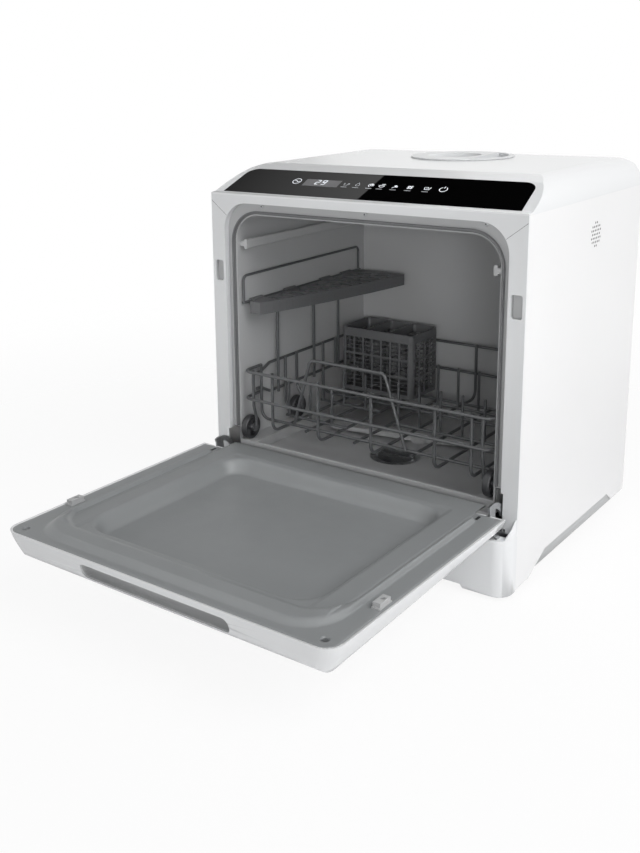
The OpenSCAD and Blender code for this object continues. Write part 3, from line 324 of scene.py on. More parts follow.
def turned(profile, steps, centre, axis="X"):
    """A closed ring swept from (radius, along) points round an X or Y axis."""
    verts, faces = [], []
    count = len(profile)
    for i in range(steps):
        a = 2 * math.pi * i / steps
        for r, along in profile:
            u, v = r * math.cos(a), r * math.sin(a)
            verts.append(centre + Vector((along, u, v) if axis == "X" else (u, along, v)))
    for i in range(steps):
        j = (i + 1) % steps
        for k in range(count):
            m = (k + 1) % count
            faces.append((i * count + k, i * count + m, j * count + m, j * count + k))
    return verts, faces


def prism(outline, low, high, to_world):
    """A flat outline given thickness, then moved by to_world(x, y, z)."""
    count = len(outline)
    verts = [to_world(x, y, z) for z in (low, high) for x, y in outline]
    faces = [tuple(range(count))[::-1], tuple(range(count, 2 * count))]
    faces += [(i, (i + 1) % count, count + (i + 1) % count, count + i) for i in range(count)]
    return verts, faces


def sideways(points, i):
    """The unit direction across a flat line at one of its points."""
    run = Vector(points[min(len(points) - 1, i + 1)]) - Vector(points[max(0, i - 1)])
    return Vector((-run.y, run.x)).normalized()


def strip_faces(rings, around):
    """The faces of a strip from its rings of points, with its two ends."""
    faces = []
    for i in range(rings - 1):
        a, b = i * around, (i + 1) * around
        faces += [(a + k, a + (k + 1) % around, b + (k + 1) % around, b + k) for k in range(around)]
    last = (rings - 1) * around
    return faces + [tuple(range(around))[::-1], tuple(last + k for k in range(around))]


def band_solid(points, width, low, high, to_world):
    """A raised line of a given width along flat points, from low to high."""
    verts = []
    for i, p in enumerate(points):
        side = sideways(points, i) * (width / 2)
        left, right = Vector(p) + side, Vector(p) - side
        verts += [to_world(left.x, left.y, low), to_world(left.x, left.y, high)]
        verts += [to_world(right.x, right.y, high), to_world(right.x, right.y, low)]
    return verts, strip_faces(len(points), 4)


def bead(points, section, to_world):
    """An open strip swept along a flat line; the section gives (sideways, outwards) points."""
    verts = []
    for i, p in enumerate(points):
        side = sideways(points, i)
        verts += [to_world(p[0] + side.x * u, p[1] + side.y * u, v) for u, v in section]
    return verts, strip_faces(len(points), len(section))


def slab(near_xs, far_xs, ys, zs):
    """A level slab, with its own left and right at its near and its far end."""
    outline = [(near_xs[0], ys[0]), (near_xs[1], ys[0]), (far_xs[1], ys[1]), (far_xs[0], ys[1])]
    return prism(outline, *zs, lambda x, y, z: Vector((x, y, z)))


def progress(value, start, end):
    """How far a value has gone from start to end, from 0 to 1."""
    return min(1.0, max(0.0, (value - start) / (end - start)))


def ease(t):
    t = min(1.0, max(0.0, t))
    return t * t * (3 - 2 * t)


def arc(cx, cy, r, start, end, steps=14):
    angles = [math.radians(start + (end - start) * i / steps) for i in range(steps + 1)]
    return [(cx + r * math.cos(a), cy + r * math.sin(a)) for a in angles]


# ---------- finishes ----------
FINISH_OF = {
    "white": ["top_cover", "plinth", "door_skin", "fill_neck", "inlet_connector"],
    "sheet": ["left_side_panel", "right_side_panel", "back_panel"],
    # the fill cap takes the frame's darker silver-white as painted shade of its dished top
    "trim": ["front_frame", "fill_cap"],
    "glass": ["control_glass"],
    "board": ["display_module", "control_board"],
    "tub": ["tub", "sump", "spray_post"],
    "liner": ["door_liner"],
    "mid": ["cup_shelf", "cutlery_basket"],
    "light": ["left_upper_rail", "right_upper_rail", "strike_pockets", "door_latches", "door_grip",
              "spray_arm"],
    "seal": ["door_seal"],
    "rubber": ["rubber_feet"],
    "wire": ["rack_floor", "rack_front", "rack_left", "rack_right", "rack_back", "plate_tines",
             "glass_hoop", "shelf_posts", "wheel_axles"],
    "dark": [*WHEELS, "drying_fan", "drain_connector", "power_gland", "wash_pump", "drain_pump"],
    "base": ["base_pan"],
    "steel": ["flange_screws", "heater", "hinge_brackets", "hinge_arms", "filter", "door_screws"],
    "tank": ["water_tank"],
}
WHITE_SURFACE = dict(grain=160, strength=0.006, edge=0, spread=0.012)
# finish: material, colour (None where a setting of that name holds it), roughness and the rest
MOULDINGS = {
    "white": ("white_moulding", None, 0.24, dict(coat=0.35, **WHITE_SURFACE)),
    "sheet": ("white_paint", None, 0.26, dict(coat=0.3, **WHITE_SURFACE)),
    "trim": ("silver_frame", None, 0.34, dict(coat=0.25, grain=200, strength=0.008, edge=0, spread=0.015)),
    # the tub and the liner are one grey plastic; the tub's copy is made lighter, as painted light against
    # the shade inside the tub
    "tub": ("grey_tub", None, 0.45, dict(strength=0.05, edge=1.2 * MM)),
    "liner": ("grey_liner", None, 0.42, dict(strength=0.06, edge=1.2 * MM)),
    "mid": ("grey_moulding", None, 0.45, dict(grain=1100, strength=0.10, edge=0.6 * MM)),
    "light": ("grey_fittings", None, 0.40, dict(grain=1100, strength=0.10)),
    "wire": ("coated_wire", None, 0.30, dict(coat=0.35, grain=420, strength=0.16, edge=0, spread=0.08)),
    "dark": ("dark_moulding", None, 0.40, dict(coat=0.1, grain=1300, edge=0.6 * MM)),
    "seal": ("grey_gasket", (0.14, 0.142, 0.146), 0.5, dict(grain=1500, strength=0.08)),
    "rubber": ("foot_rubber", (0.09, 0.09, 0.093), 0.62, dict(grain=1500, strength=0.2)),
    "base": ("base_tray", (0.50, 0.505, 0.51), 0.6, dict(grain=1200, strength=0.15)),
    "tank": ("tank_plastic", (0.5, 0.55, 0.6), 0.35, dict(grain=600, strength=0.06)),
    "board": ("circuit_board", (0.02, 0.10, 0.04), 0.35, dict(coat=0.3, grain=250, strength=0.2)),
    "window": ("display_window", (0.17, 0.17, 0.175), 0.3, dict(coat=0.3, strength=0.02, edge=0)),
    # dark joints of the frame's seams, and painted shade in the hinge covers' slots, the screws' crosses
    # and the vent holes
    "gap": ("dark_gap", (0.012, 0.012, 0.013), 0.7, dict(strength=0.05, edge=0)),
}
# finish: material, share of the lights' colour, strength
PANEL_LIGHTS = {
    "glow": ("panel_glow", 1.0, 0.62),
    "digits": ("panel_digits", 1.0, 0.26),
    "faint": ("panel_faint", 0.5, 0.35),
}


def mix_finishes(colours):
    """Makes every finish of the machine."""
    for key, (name, rgb, rough, rest) in MOULDINGS.items():
        finish[key] = moulded(name, rgb or getattr(colours, key), rough, **rest)
    for key, (name, part, strength) in PANEL_LIGHTS.items():
        finish[key] = glowing(name, [c * part for c in colours.glow], strength)
    finish["steel"] = brushed("stamped_steel", (0.52, 0.53, 0.54), 0.32)
    finish["glass"] = black_glass("black_glass", (0.0008, 0.0008, 0.0009))


class DISHWASHER_OT_finishes(bpy.types.Operator):
    """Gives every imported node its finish"""

    bl_idname = "dishwasher.finishes"
    bl_label = "Finishes"

    def execute(self, context):
        mix_finishes(context.scene.dishwasher_finish)
        for key, names in FINISH_OF.items():
            for name in names:
                mesh = NODES[name].data
                mesh.materials.clear()
                mesh.materials.append(finish[key])
        return {"FINISHED"}


# ---------- control panel ----------
SLOPE_LOW = Vector((0, FRONT + 9 * MM, COVER_LOW.z + 3 * MM))
SLOPE_HIGH = Vector((0, FRONT + 62 * MM, COVER_HIGH.z - 6 * MM))
SLOPE_LENGTH = (SLOPE_HIGH - SLOPE_LOW).length
UP_SLOPE = (SLOPE_HIGH - SLOPE_LOW).normalized()
OFF_GLASS = Vector((0, -UP_SLOPE.z, UP_SLOPE.y))
GLASS_PROUD = 0.25 * MM
PANEL_FOOT = SLOPE_LOW + OFF_GLASS * GLASS_PROUD
GLASS_FOOT, GLASS_TOP = 0.6 * MM, SLOPE_LENGTH - 0.8 * MM
GLASS_HALF, GLASS_TOP_HALF, GLASS_CORNER = mm(197.5, 194, 16)


def on_panel(x, y, z):
    """From panel places (across, up the slope, off the glass) to the frame."""
    return PANEL_FOOT + Vector((x, 0, 0)) + UP_SLOPE * y + OFF_GLASS * z


def lay_glass():
    """The black glass, with its round upper corners, laid over the opening of the cover."""
    right = [(GLASS_HALF, GLASS_FOOT), (GLASS_TOP_HALF, GLASS_TOP - GLASS_CORNER)]
    right += arc(GLASS_TOP_HALF - GLASS_CORNER, GLASS_TOP - GLASS_CORNER, GLASS_CORNER, 8, 90, 12)
    outline = right + [(-x, y) for x, y in reversed(right)]
    sheet = prism(outline, -2 * GLASS_PROUD, 0, on_panel)
    glass = place_parts("control_glass_sheet", [sheet], "cabinet", "panel_black", "glass", smooth=FLAT)
    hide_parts("control_glass")


ICON_ROW = 33 * MM
# the strokes of the generic programme icons, where 1 is half an icon's height
ICONS = {
    "mug": [[(-0.7, 0.5), (-0.5, -0.8), (0.5, -0.8), (0.7, 0.5)], arc(0.75, -0.1, 0.35, 100, -80, 8)],
    "drop": [[(0, 1), *arc(0, -0.25, 0.6, 40, -220), (0, 1)]],
    "moon": [arc(0, 0, 0.8, -30, 250), arc(0.1, 0.1, 0.35, 0, 360)],
    "plates": [arc(0, 0.2, 0.9, 180, 360), [(-0.9, 0.2), (0.9, 0.2)], [(-0.3, 0.8), (0.9, 0.9)]],
    "leaf": [arc(-0.3, -0.3, 0.95, 90, 0), arc(0.65, 0.65, 0.95, 180, 270), [(-0.8, -0.8), (0.4, 0.4)]],
    "basket": [arc(x, y, 0.3, 0, 360, 10) for y in (0.45, -0.35) for x in (-0.45, 0.45)],
    "tray": [[(-1, 0.6), (-0.7, -0.6), (0.7, -0.6), (1, 0.6)], [(-0.5, 0.7), (-0.1, 0)],
             [(0, 0.7), (0.4, 0)]],
}
ICON_PLACES = {"mug": -35, "drop": -19, "moon": -1, "plates": 13, "leaf": 31, "basket": 50, "tray": 72}
FAINT_ICONS = ["mug", "drop"]
ICON_PRINT = mm(0.02, 0.12)  # from and to, off the glass
CAPTION_HALF, CAPTION_ROW, CAPTION_STROKE = 4, ICON_ROW - 7 * MM, 0.7 * MM
POWER_KEY_X, POWER_KEY_R = mm(92, 4.6)
POWER_HAND = (ICON_ROW + 2.4 * MM, ICON_ROW + 5.8 * MM)
ROUND_KEY_X, ROUND_KEY_R = mm(-106, 5.6)
WAVE_START, WAVE_HEIGHT, WAVE_TURN = -109.5, 1.3 * MM, 0.9


def light_icons(panel):
    """The programme icons with a bar under each, the power key, and the round key with its wave."""
    bright, faint, r = [], [], panel.icon / 2
    for kind, x in ICON_PLACES.items():
        group = faint if kind in FAINT_ICONS else bright
        for line in ICONS[kind]:
            moved = [(px * r + x * MM, py * r + ICON_ROW) for px, py in line]
            group.append(band_solid(moved, panel.stroke, *ICON_PRINT, on_panel))
        bar = [((x + end) * MM, CAPTION_ROW) for end in (-CAPTION_HALF, CAPTION_HALF)]
        faint.append(band_solid(bar, CAPTION_STROKE, *ICON_PRINT, on_panel))
    rings = [arc(x, ICON_ROW, r, 60, end, 26)
             for x, r, end in ((POWER_KEY_X, POWER_KEY_R, -240), (ROUND_KEY_X, ROUND_KEY_R, -300))]
    hand = [(POWER_KEY_X, y) for y in POWER_HAND]
    wave = [((WAVE_START + i) * MM, ICON_ROW + WAVE_HEIGHT * math.sin(i * WAVE_TURN)) for i in range(8)]
    bright += [band_solid(line, panel.stroke, *ICON_PRINT, on_panel) for line in (*rings, hand, wave)]
    place_parts("panel_icons", bright, "cabinet", "panel_black", "glow", smooth=FLAT)
    place_parts("panel_captions", faint, "cabinet", "panel_black", "faint", smooth=FLAT)


DISPLAY_XS, DISPLAY_YS = (-94 * MM, -44 * MM), (ICON_ROW - 9 * MM, ICON_ROW + 6 * MM)
WINDOW_PROUD, DIGIT_PROUD = mm(0.05, 0.16)
FIRST_DIGIT, DIGIT_PITCH, DIGIT_STROKE = -78, 9, 1.1 * MM
DIGIT_WIDTH, DIGIT_LEAN = 0.95, 0.1  # shares of half a digit's height
SEGMENTS = {"a": ((0, 2), (1, 2)), "b": ((1, 2), (1, 1)), "c": ((1, 1), (1, 0)), "d": ((0, 0), (1, 0)),
            "e": ((0, 1), (0, 0)), "f": ((0, 2), (0, 1)), "g": ((0, 1), (1, 1))}
DIGITS = ("abged", "abcdfg")  # a two and a nine


def light_display(panel):
    """The display's window and its two digits."""
    (left, right), (foot, head) = DISPLAY_XS, DISPLAY_YS
    window = prism([(left, foot), (right, foot), (right, head), (left, head)], 0, WINDOW_PROUD, on_panel)
    place_parts("display_window", [window], "cabinet", "panel_black", "window")
    parts, height = [], panel.digits / 2
    for i, keys in enumerate(DIGITS):
        for key in keys:
            line = [((FIRST_DIGIT + i * DIGIT_PITCH) * MM + (px * DIGIT_WIDTH + py * DIGIT_LEAN) * height,
                     ICON_ROW - height + py * height) for px, py in SEGMENTS[key]]
            parts.append(band_solid(line, DIGIT_STROKE, WINDOW_PROUD, DIGIT_PROUD, on_panel))
    place_parts("display_digits", parts, "cabinet", "panel_black", "digits", smooth=FLAT)


class DISHWASHER_OT_panel(bpy.types.Operator):
    """Lays the glass over the slope, and lights its icons and display"""

    bl_idname = "dishwasher.panel"
    bl_label = "Panel lights"

    def execute(self, context):
        panel = context.scene.dishwasher_panel
        lay_glass()
        light_icons(panel)
        light_display(panel)
        return {"FINISHED"}


# ---------- door skin, grip and plinth, softened from their plain solids ----------
SKIN_HINGE_END = HINGE_END + 2.8 * MM
SKIN_HEEL = 25.5 * MM  # depth of the plain skin at the hinge
SKIN_HALF, SKIN_FULL = SKIN_HIGH.x, SKIN_HIGH.z - SKIN_LOW.z
SQUEEZE_BAND = 24 * MM
BEVEL_BAND, BEVEL_BEND = 2 * SQUEEZE_BAND, 1.25
FRONT_FADE = mm(18, 48)
LENGTH_CUTS, BAND_CUTS, DEPTH_CUTS, CORNER_CUTS, FRONT_CUTS = 16, 8, 6, 7, (18, 28, 38, 48)


def cut_copy(node, cuts):
    """A copy of a node's mesh, cut by planes at (axis, place) so that it can be bent."""
    work = bmesh.new()
    work.from_mesh(NODES[node].data)
    bmesh.ops.remove_doubles(work, verts=work.verts, dist=0.002 * MM)
    for axis, place in cuts:
        normal = Vector([float(k == axis) for k in range(3)])
        parts = work.verts[:] + work.edges[:] + work.faces[:]
        bmesh.ops.bisect_plane(work, geom=parts, plane_co=normal * place, plane_no=normal, dist=0.001 * MM)
    return work


def bend_copies(rows, body, cuts, bend):
    """Replaces each node by a cut copy of itself whose points are moved by bend(co)."""
    for node, name, slot, look in rows:
        work = cut_copy(node, cuts)
        for v in work.verts:
            bend(v.co)
        bmesh.ops.triangulate(work, faces=work.faces)
        mesh = bpy.data.meshes.new(name)
        work.to_mesh(mesh)
        work.free()
        piece = place_piece(name, mesh, body, slot, look, 30)
        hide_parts(node)


def soften_skin(co, shape):
    """Narrows the side edges towards the hinge, and bevels the sides and the free edge."""
    along = progress(co.y, SKIN_LOW.y, SKIN_HINGE_END)
    side = SKIN_FULL + (shape.hinge_edge - SKIN_FULL) * along
    here = SKIN_FULL + (SKIN_HEEL - SKIN_FULL) * along
    inward = ease((abs(co.x) - (SKIN_HALF - SQUEEZE_BAND)) / SQUEEZE_BAND)
    squeeze = 1 - inward * (1 - min(1.0, side / here))
    co.z = SKIN_HIGH.z - (SKIN_HIGH.z - co.z) * squeeze
    drop = max(0.0, (SKIN_HIGH.z - co.z) / SKIN_FULL) ** BEVEL_BEND
    over = max(0.0, abs(co.x) - (SKIN_HALF - BEVEL_BAND)) / BEVEL_BAND
    co.x = math.copysign(abs(co.x) - shape.side_bevel * drop * over, co.x)
    co.y += shape.front_bevel * drop * (1 - progress(co.y - SKIN_LOW.y, *FRONT_FADE))


def round_plan(co, half, front, radius):
    """Moves a point of a square corner on to a rounded one, in plan."""
    u, v = abs(co.x) - (half - radius), (front + radius) - co.y
    if u > 0 and v > 0:
        scale = max(u, v) / math.hypot(u, v)
        co.x, co.y = math.copysign(half - radius + u * scale, co.x), front + radius - v * scale


class DISHWASHER_OT_outside(bpy.types.Operator):
    """Softens the door's skin and grip, and rounds the corners of the plinth and the base tray"""

    bl_idname = "dishwasher.outside"
    bl_label = "Door skin and plinth"

    def execute(self, context):
        shape = context.scene.dishwasher_outside
        reach = SKIN_HINGE_END - SKIN_LOW.y
        insets = [SQUEEZE_BAND * i / BAND_CUTS for i in range(BAND_CUTS + 1)] + [BEVEL_BAND]
        cuts = [(1, SKIN_LOW.y + reach * i / LENGTH_CUTS) for i in range(1, LENGTH_CUTS)]
        cuts += [(0, side * (SKIN_HALF - inset)) for inset in insets for side in (-1, 1)]
        cuts += [(2, SKIN_LOW.z + SKIN_FULL * i / DEPTH_CUTS) for i in range(1, DEPTH_CUTS)]
        cuts += [(1, SKIN_LOW.y + place * MM) for place in FRONT_CUTS]
        bend_copies((("door_skin", "door_skin_moulded", "white_gloss", "white"),
                     ("door_grip", "door_grip_moulded", "light_grey", "light")),
                    "door", cuts, lambda co: soften_skin(co, shape))
        low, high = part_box("plinth")
        radius = shape.plinth_corner
        places = [radius * i / CORNER_CUTS for i in range(CORNER_CUTS + 1)]
        cuts = [(0, side * (high.x - place)) for place in places for side in (-1, 1)]
        cuts += [(1, low.y + place) for place in places]
        bend_copies((("plinth", "plinth_moulded", "white_gloss", "white"),
                     ("base_pan", "base_tray_moulded", "base_grey", "base")),
                    "cabinet", cuts, lambda co: round_plan(co, high.x, low.y, radius))
        return {"FINISHED"}


# ---------- door liner ----------
RIM = SKIN_HIGH.z
LINER_HALF, LINER_FREE, LINER_CORNER = LINER_HIGH.x, LINER_LOW.y, 15 * MM
EDGE_SOFT, EDGE_DROP = mm(1.5, 0.5)
CORNER_ROWS = LINER_FREE + 24 * MM
LIP_HALF, LIP_END, LIP_START, LIP_STEP = 176 * MM, LINER_HIGH.y, FRONT - 40 * MM, 0.05 * MM
TRACK_IN, TRACK_SOFT, TRACK_UP, TRACK_FREE = 151 * MM, 1.5 * MM, 1.2 * MM, FRONT - 313 * MM
RIDGE_X, RIDGE_Y, RIDGE_R, RIDGE_H = 186.7 * MM, FRONT - 342.5 * MM, 43 * MM, LINER_HIGH.z - SKIN_HIGH.z
RIDGE_STOP, RIDGE_INNER_R, RIDGE_CREST = FRONT - 54 * MM, RIDGE_R - 6 * MM, RIDGE_X - 4 * MM
# width of the ridge's flanks in mm, and what it gains towards the free edge
FLANK_WIDTH, FLANK_MORE, FLANK_FROM, FLANK_OVER = 3.2, 6.5, FRONT - 285 * MM, 30 * MM
RUN_OUT = 6 * MM
PAN_HALF, PAN_NEAR, PAN_FAR = 150.5 * MM, FRONT - 301 * MM, FRONT - 42 * MM
PAN_DEEP, PAN_WALL, PAN_CORNER = mm(16, 13, 32)
SCREW_PLACE = Vector((192 * MM, FRONT - 340 * MM))
HOLLOW_R, HOLLOW_SOFT, HOLLOW_DEEP = mm(3.4, 0.9, 5)
CLOSE_REACH, CLOSE_PITCH = mm(6, 0.9)
SLOT_X, SLOT_FIRST, SLOT_PITCH = 184 * MM, 76, 15
SLOT_LENGTH, SLOT_WIDTH = mm(9, 3)
SLOT_SHADE_SPAN = mm(0.05, 0.4)  # from and to, above the rim, of the painted shade in the slots


def inside_corner(from_side, from_end, r):
    """How far a point lies inside a round corner, from how far it lies inside each straight edge."""
    if from_side < r and from_end < r:
        return r - math.hypot(r - from_side, r - from_end)
    return min(from_side, from_end)


def liner_height(x, y, liner):
    """Height of the liner's face above the rim: ridge, wheel tracks, pan and screw hollows."""
    half = abs(x)
    from_side, from_end = RIDGE_X - half, y - RIDGE_Y
    outer = inside_corner(from_side, from_end, RIDGE_R)
    inner = inside_corner(from_side - liner.ridge_side, from_end - liner.ridge_front, RIDGE_INNER_R)
    flank = (FLANK_WIDTH + FLANK_MORE * ease((FLANK_FROM - y) / FLANK_OVER)) * MM
    ridge = RIDGE_H * ease(outer / flank) * (1 - ease((inner + flank) / flank))
    ridge *= 1 - ease((y - RIDGE_STOP) / RUN_OUT)
    track = ease((half - TRACK_IN) / TRACK_SOFT) * ease((y - TRACK_FREE) / RUN_OUT)
    track *= 1 - ease((half - LIP_HALF + TRACK_UP / 2) / TRACK_UP)
    lip = ease((y - LIP_START) / (RUN_OUT / 2)) * (half < LIP_HALF)
    pan = ease(inside_corner(PAN_HALF - half, min(y - PAN_NEAR, PAN_FAR - y), PAN_CORNER) / PAN_WALL)
    from_screw = math.hypot(half - SCREW_PLACE.x, y - SCREW_PLACE.y)
    hollow = 1 - ease((from_screw - HOLLOW_R) / HOLLOW_SOFT)
    edge = 1 - ease(min(LINER_HALF - half, y - LINER_FREE) / EDGE_SOFT)
    return ridge + TRACK_UP * max(track, lip) - PAN_DEEP * pan - HOLLOW_DEEP * hollow - EDGE_DROP * edge


def lines_between(low, high, pitch, close):
    """Grid lines at a pitch, with closer ones round some places."""
    count = max(1, round((high - low) / pitch))
    lines = [low + (high - low) * i / count for i in range(count + 1)]
    for centre in close:
        lines = [v for v in lines if abs(v - centre) > CLOSE_REACH]
        steps = round(2 * CLOSE_REACH / CLOSE_PITCH)
        lines += [centre - CLOSE_REACH + 2 * CLOSE_REACH * i / steps for i in range(steps + 1)]
    return sorted(v for v in lines if low <= v <= high)


def liner_face(liner):
    """The liner's upper face as a grid that follows its round corners and its longer middle."""
    places = (-SCREW_PLACE.x, -RIDGE_CREST, RIDGE_CREST, SCREW_PLACE.x)
    across = lines_between(-LINER_HALF, LINER_HALF, liner.grid, places)
    across += [side * (LIP_HALF - inset) for inset in (0, LIP_STEP) for side in (-1, 1)]
    along = lines_between(LINER_FREE, LIP_END, liner.grid, (SCREW_PLACE.y,))
    verts, rows = [], len(along)
    for x in sorted(across):
        far = LIP_END if abs(x) < LIP_HALF - LIP_STEP / 2 else HINGE_END
        over = max(0.0, abs(x) - (LINER_HALF - LINER_CORNER))
        near = LINER_FREE + LINER_CORNER - math.sqrt(max(0.0, LINER_CORNER**2 - over**2))
        for y in along:
            if y < CORNER_ROWS:
                y = near + (y - LINER_FREE) * (CORNER_ROWS - near) / (CORNER_ROWS - LINER_FREE)
            elif far < LIP_END:
                y = CORNER_ROWS + (y - CORNER_ROWS) * (far - CORNER_ROWS) / (LIP_END - CORNER_ROWS)
            verts.append((x, y, RIM + liner_height(x, y, liner)))
    faces = [(i * rows + j, (i + 1) * rows + j, (i + 1) * rows + j + 1, i * rows + j + 1)
             for i in range(len(across) - 1) for j in range(rows - 1)]
    return verts, faces


class DISHWASHER_OT_liner(bpy.types.Operator):
    """Moulds the door's inner face, with its ridge, wheel tracks and pan, and lays painted shade where the
    hinge covers have slots
    """

    bl_idname = "dishwasher.liner"
    bl_label = "Door liner"

    def execute(self, context):
        liner = context.scene.dishwasher_liner
        face = [liner_face(liner)]
        piece = place_parts("door_liner_moulding", face, "door", "tub_grey", "liner", smooth=60)
        wall = piece.modifiers.new("wall", "SOLIDIFY")
        wall.thickness = liner.wall
        wall.offset = -1
        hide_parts("door_liner")
        # three dark strips beside each hinge: painted shade of the slots in the hinge covers
        parts = []
        for side in (-1, 1):
            for i in range(3):
                start = FRONT - (SLOT_FIRST - i * SLOT_PITCH) * MM
                line = [(side * SLOT_X, start), (side * SLOT_X, start + SLOT_LENGTH)]
                parts.append(band_solid(line, SLOT_WIDTH, *SLOT_SHADE_SPAN,
                                        lambda x, y, z: Vector((x, y, RIM + z))))
        place_parts("hinge_cover_slots", parts, "door", "tub_grey", "gap")
        return {"FINISHED"}


# ---------- wheels ----------
TYRE = ((3.2, 0.6), (1.2, 0), (0.3, 0.7), (0, 2))  # depth below the tread and inset from the side, mm
TYRE_MIDDLE = 3.6 * MM
HUB = ((2.15, 0), (4.6, 0), (5.2, 1))  # radius and inset from the side, mm
SPOKES, SPOKE_FOOT, SPOKE_HEAD, SPOKE_INSET = 6, 4.8 * MM, 3.4 * MM, 2.2 * MM
SPOKE_HALVES = mm(1.5, 2.4)


def both_sides(points, half):
    """A ring's (radius, inset) points from one side of a wheel, carried over to the other."""
    near = [(r, inset * MM - half) for r, inset in points]
    return near + [(r, -along) for r, along in reversed(near)]


def wheel_parts(centre, radius, half):
    """Tyre, hub and spokes of a wheel that reaches half its width to each side of its centre."""
    tyre = both_sides([(radius - deep * MM, inset) for deep, inset in TYRE], half)
    hub = both_sides([(r * MM, inset) for r, inset in HUB], half)
    parts = [turned(tyre + [(radius - TYRE_MIDDLE, 0)], 48, centre), turned(hub, 32, centre)]
    (foot, head), top = SPOKE_HALVES, radius - SPOKE_HEAD
    spoke = [(SPOKE_FOOT, -foot), (top, -head), (top, head), (SPOKE_FOOT, foot)]
    for i in range(SPOKES):
        turn = Matrix.Rotation(2 * math.pi * i / SPOKES, 3, "X")
        parts.append(prism(spoke, -half + SPOKE_INSET, half - SPOKE_INSET,
                           lambda x, y, z: centre + turn @ Vector((z, x, y))))
    return parts


class DISHWASHER_OT_wheels(bpy.types.Operator):
    """Makes the six spoked wheels of the rack"""

    bl_idname = "dishwasher.wheels"
    bl_label = "Rack wheels"

    def execute(self, context):
        for name in WHEELS:
            low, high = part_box(name)
            parts = wheel_parts((low + high) / 2, (high.z - low.z) / 2, (high.x - low.x) / 2)
            wheel = place_parts(f"{name}_spoked", parts, name, "dark_plastic", "dark", smooth=40)
            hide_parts(name)
        return {"FINISHED"}


# ---------- small fittings ----------
SCREW_XS = mm(-136.5, 10.5, 159.5)
# a screw head's outline: radius and depth, mm
SCREW_HEAD = ((0.05, 0.02), (1.6, 0.1), (2.3, 0.7), (2.5, 1.6), (2.5, 1.8), (0.05, 1.8))
CROSS_LONG, CROSS_WIDE, CROSS_DEEP, CROSS_TURN = 1.3 * MM, 0.28 * MM, 0.3 * MM, 20
SEAM = ((186, 393.5), (209.6, 411.5))  # the frame's corner seam, from inside to outside, mm
SEAM_WIDTH, SEAM_PROUD = mm(0.35, 0.03)
VENT_PLACE = (FRONT + 187 * MM, COVER_LOW.z - 43 * MM)
VENT_PITCH, VENT_REACH, VENT_HOLE, VENT_DEEP = mm(5.2, 15.5, 1.45, 0.15)


def add_screws():
    """Pan-head screws of the tub's flange, with a dark cross on each head: painted shade standing in for
    its cross recess.
    """
    low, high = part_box("flange_screws")
    head = [(r * MM, deep * MM) for r, deep in SCREW_HEAD]
    bar = [(-CROSS_LONG, -CROSS_WIDE), (CROSS_LONG, -CROSS_WIDE), (CROSS_LONG, CROSS_WIDE),
           (-CROSS_LONG, CROSS_WIDE)]
    heads, cross_shades = [], []
    for x in SCREW_XS:
        centre = Vector((x, low.y, (low.z + high.z) / 2))
        heads.append(turned(head, 28, centre, "Y"))
        # each cross is painted shade laid on the head in place of a recess
        for degrees in (CROSS_TURN, CROSS_TURN + 90):
            turn = Matrix.Rotation(math.radians(degrees), 3, "Y")
            cross_shades.append(prism(bar, 0.0, CROSS_DEEP, lambda u, v, w: centre + turn @ Vector((u, w, v))))
    screws = place_parts("flange_screw_heads", heads, "cabinet", "steel", "steel", smooth=30)
    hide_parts("flange_screws")
    place_parts("flange_screw_recesses", cross_shades, "cabinet", "steel", "gap")


def add_vent_shadows():
    """Painted shade: dark discs in the right side panel's vent holes, standing in for the shade seen in
    them from outside.
    """
    face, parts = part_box("right_side_panel")[1].x, []
    for row in range(-3, 4):
        for col in range(-3, 4):
            y, z = (col + (row % 2) * 0.5) * VENT_PITCH, row * VENT_PITCH * math.sin(math.radians(60))
            if math.hypot(y, z) < VENT_REACH:
                ring = arc(VENT_PLACE[0] + y, VENT_PLACE[1] + z, VENT_HOLE, 0, 337.5, 15)
                parts.append(prism(ring, face - 2 * VENT_DEEP, face - VENT_DEEP,
                                   lambda u, v, w: Vector((w, u, v))))
    place_parts("vent_shadows", parts, "cabinet", "dark_plastic", "gap")


class DISHWASHER_OT_fittings(bpy.types.Operator):
    """Makes the cross-head screws, the painted shade in their crosses and in the vent holes, and the
    frame's seams
    """

    bl_idname = "dishwasher.fittings"
    bl_label = "Screws and seams"

    def execute(self, context):
        add_screws()
        add_vent_shadows()
        lines = [[(side * x * MM, z * MM) for x, z in SEAM] for side in (-1, 1)]
        seams = [band_solid(line, SEAM_WIDTH, 0.0, SEAM_PROUD,
                            lambda x, z, out: Vector((x, FRONT - out, z))) for line in lines]
        place_parts("frame_seams", seams, "cabinet", "frame_silver", "gap")
        return {"FINISHED"}


# ---------- seal, basket and cup shelf ----------
SEAL_INSET, SEAL_CORNER = mm(2, 37.5)
SEAL_FOOT, SEAL_HEEL, SEAL_NECK = mm(1.9, 0.9, 1.3)
# the lip's inner and outer side: sideways in mm, share of its height
LIP_IN = ((0.5, 0.5), (1.6, 0.6), (1.8, 0.8), (1.2, 0.95), (0.5, 1))
LIP_OUT = ((0.2, 0.95), (0.7, 0.8), (0.5, 0.6))


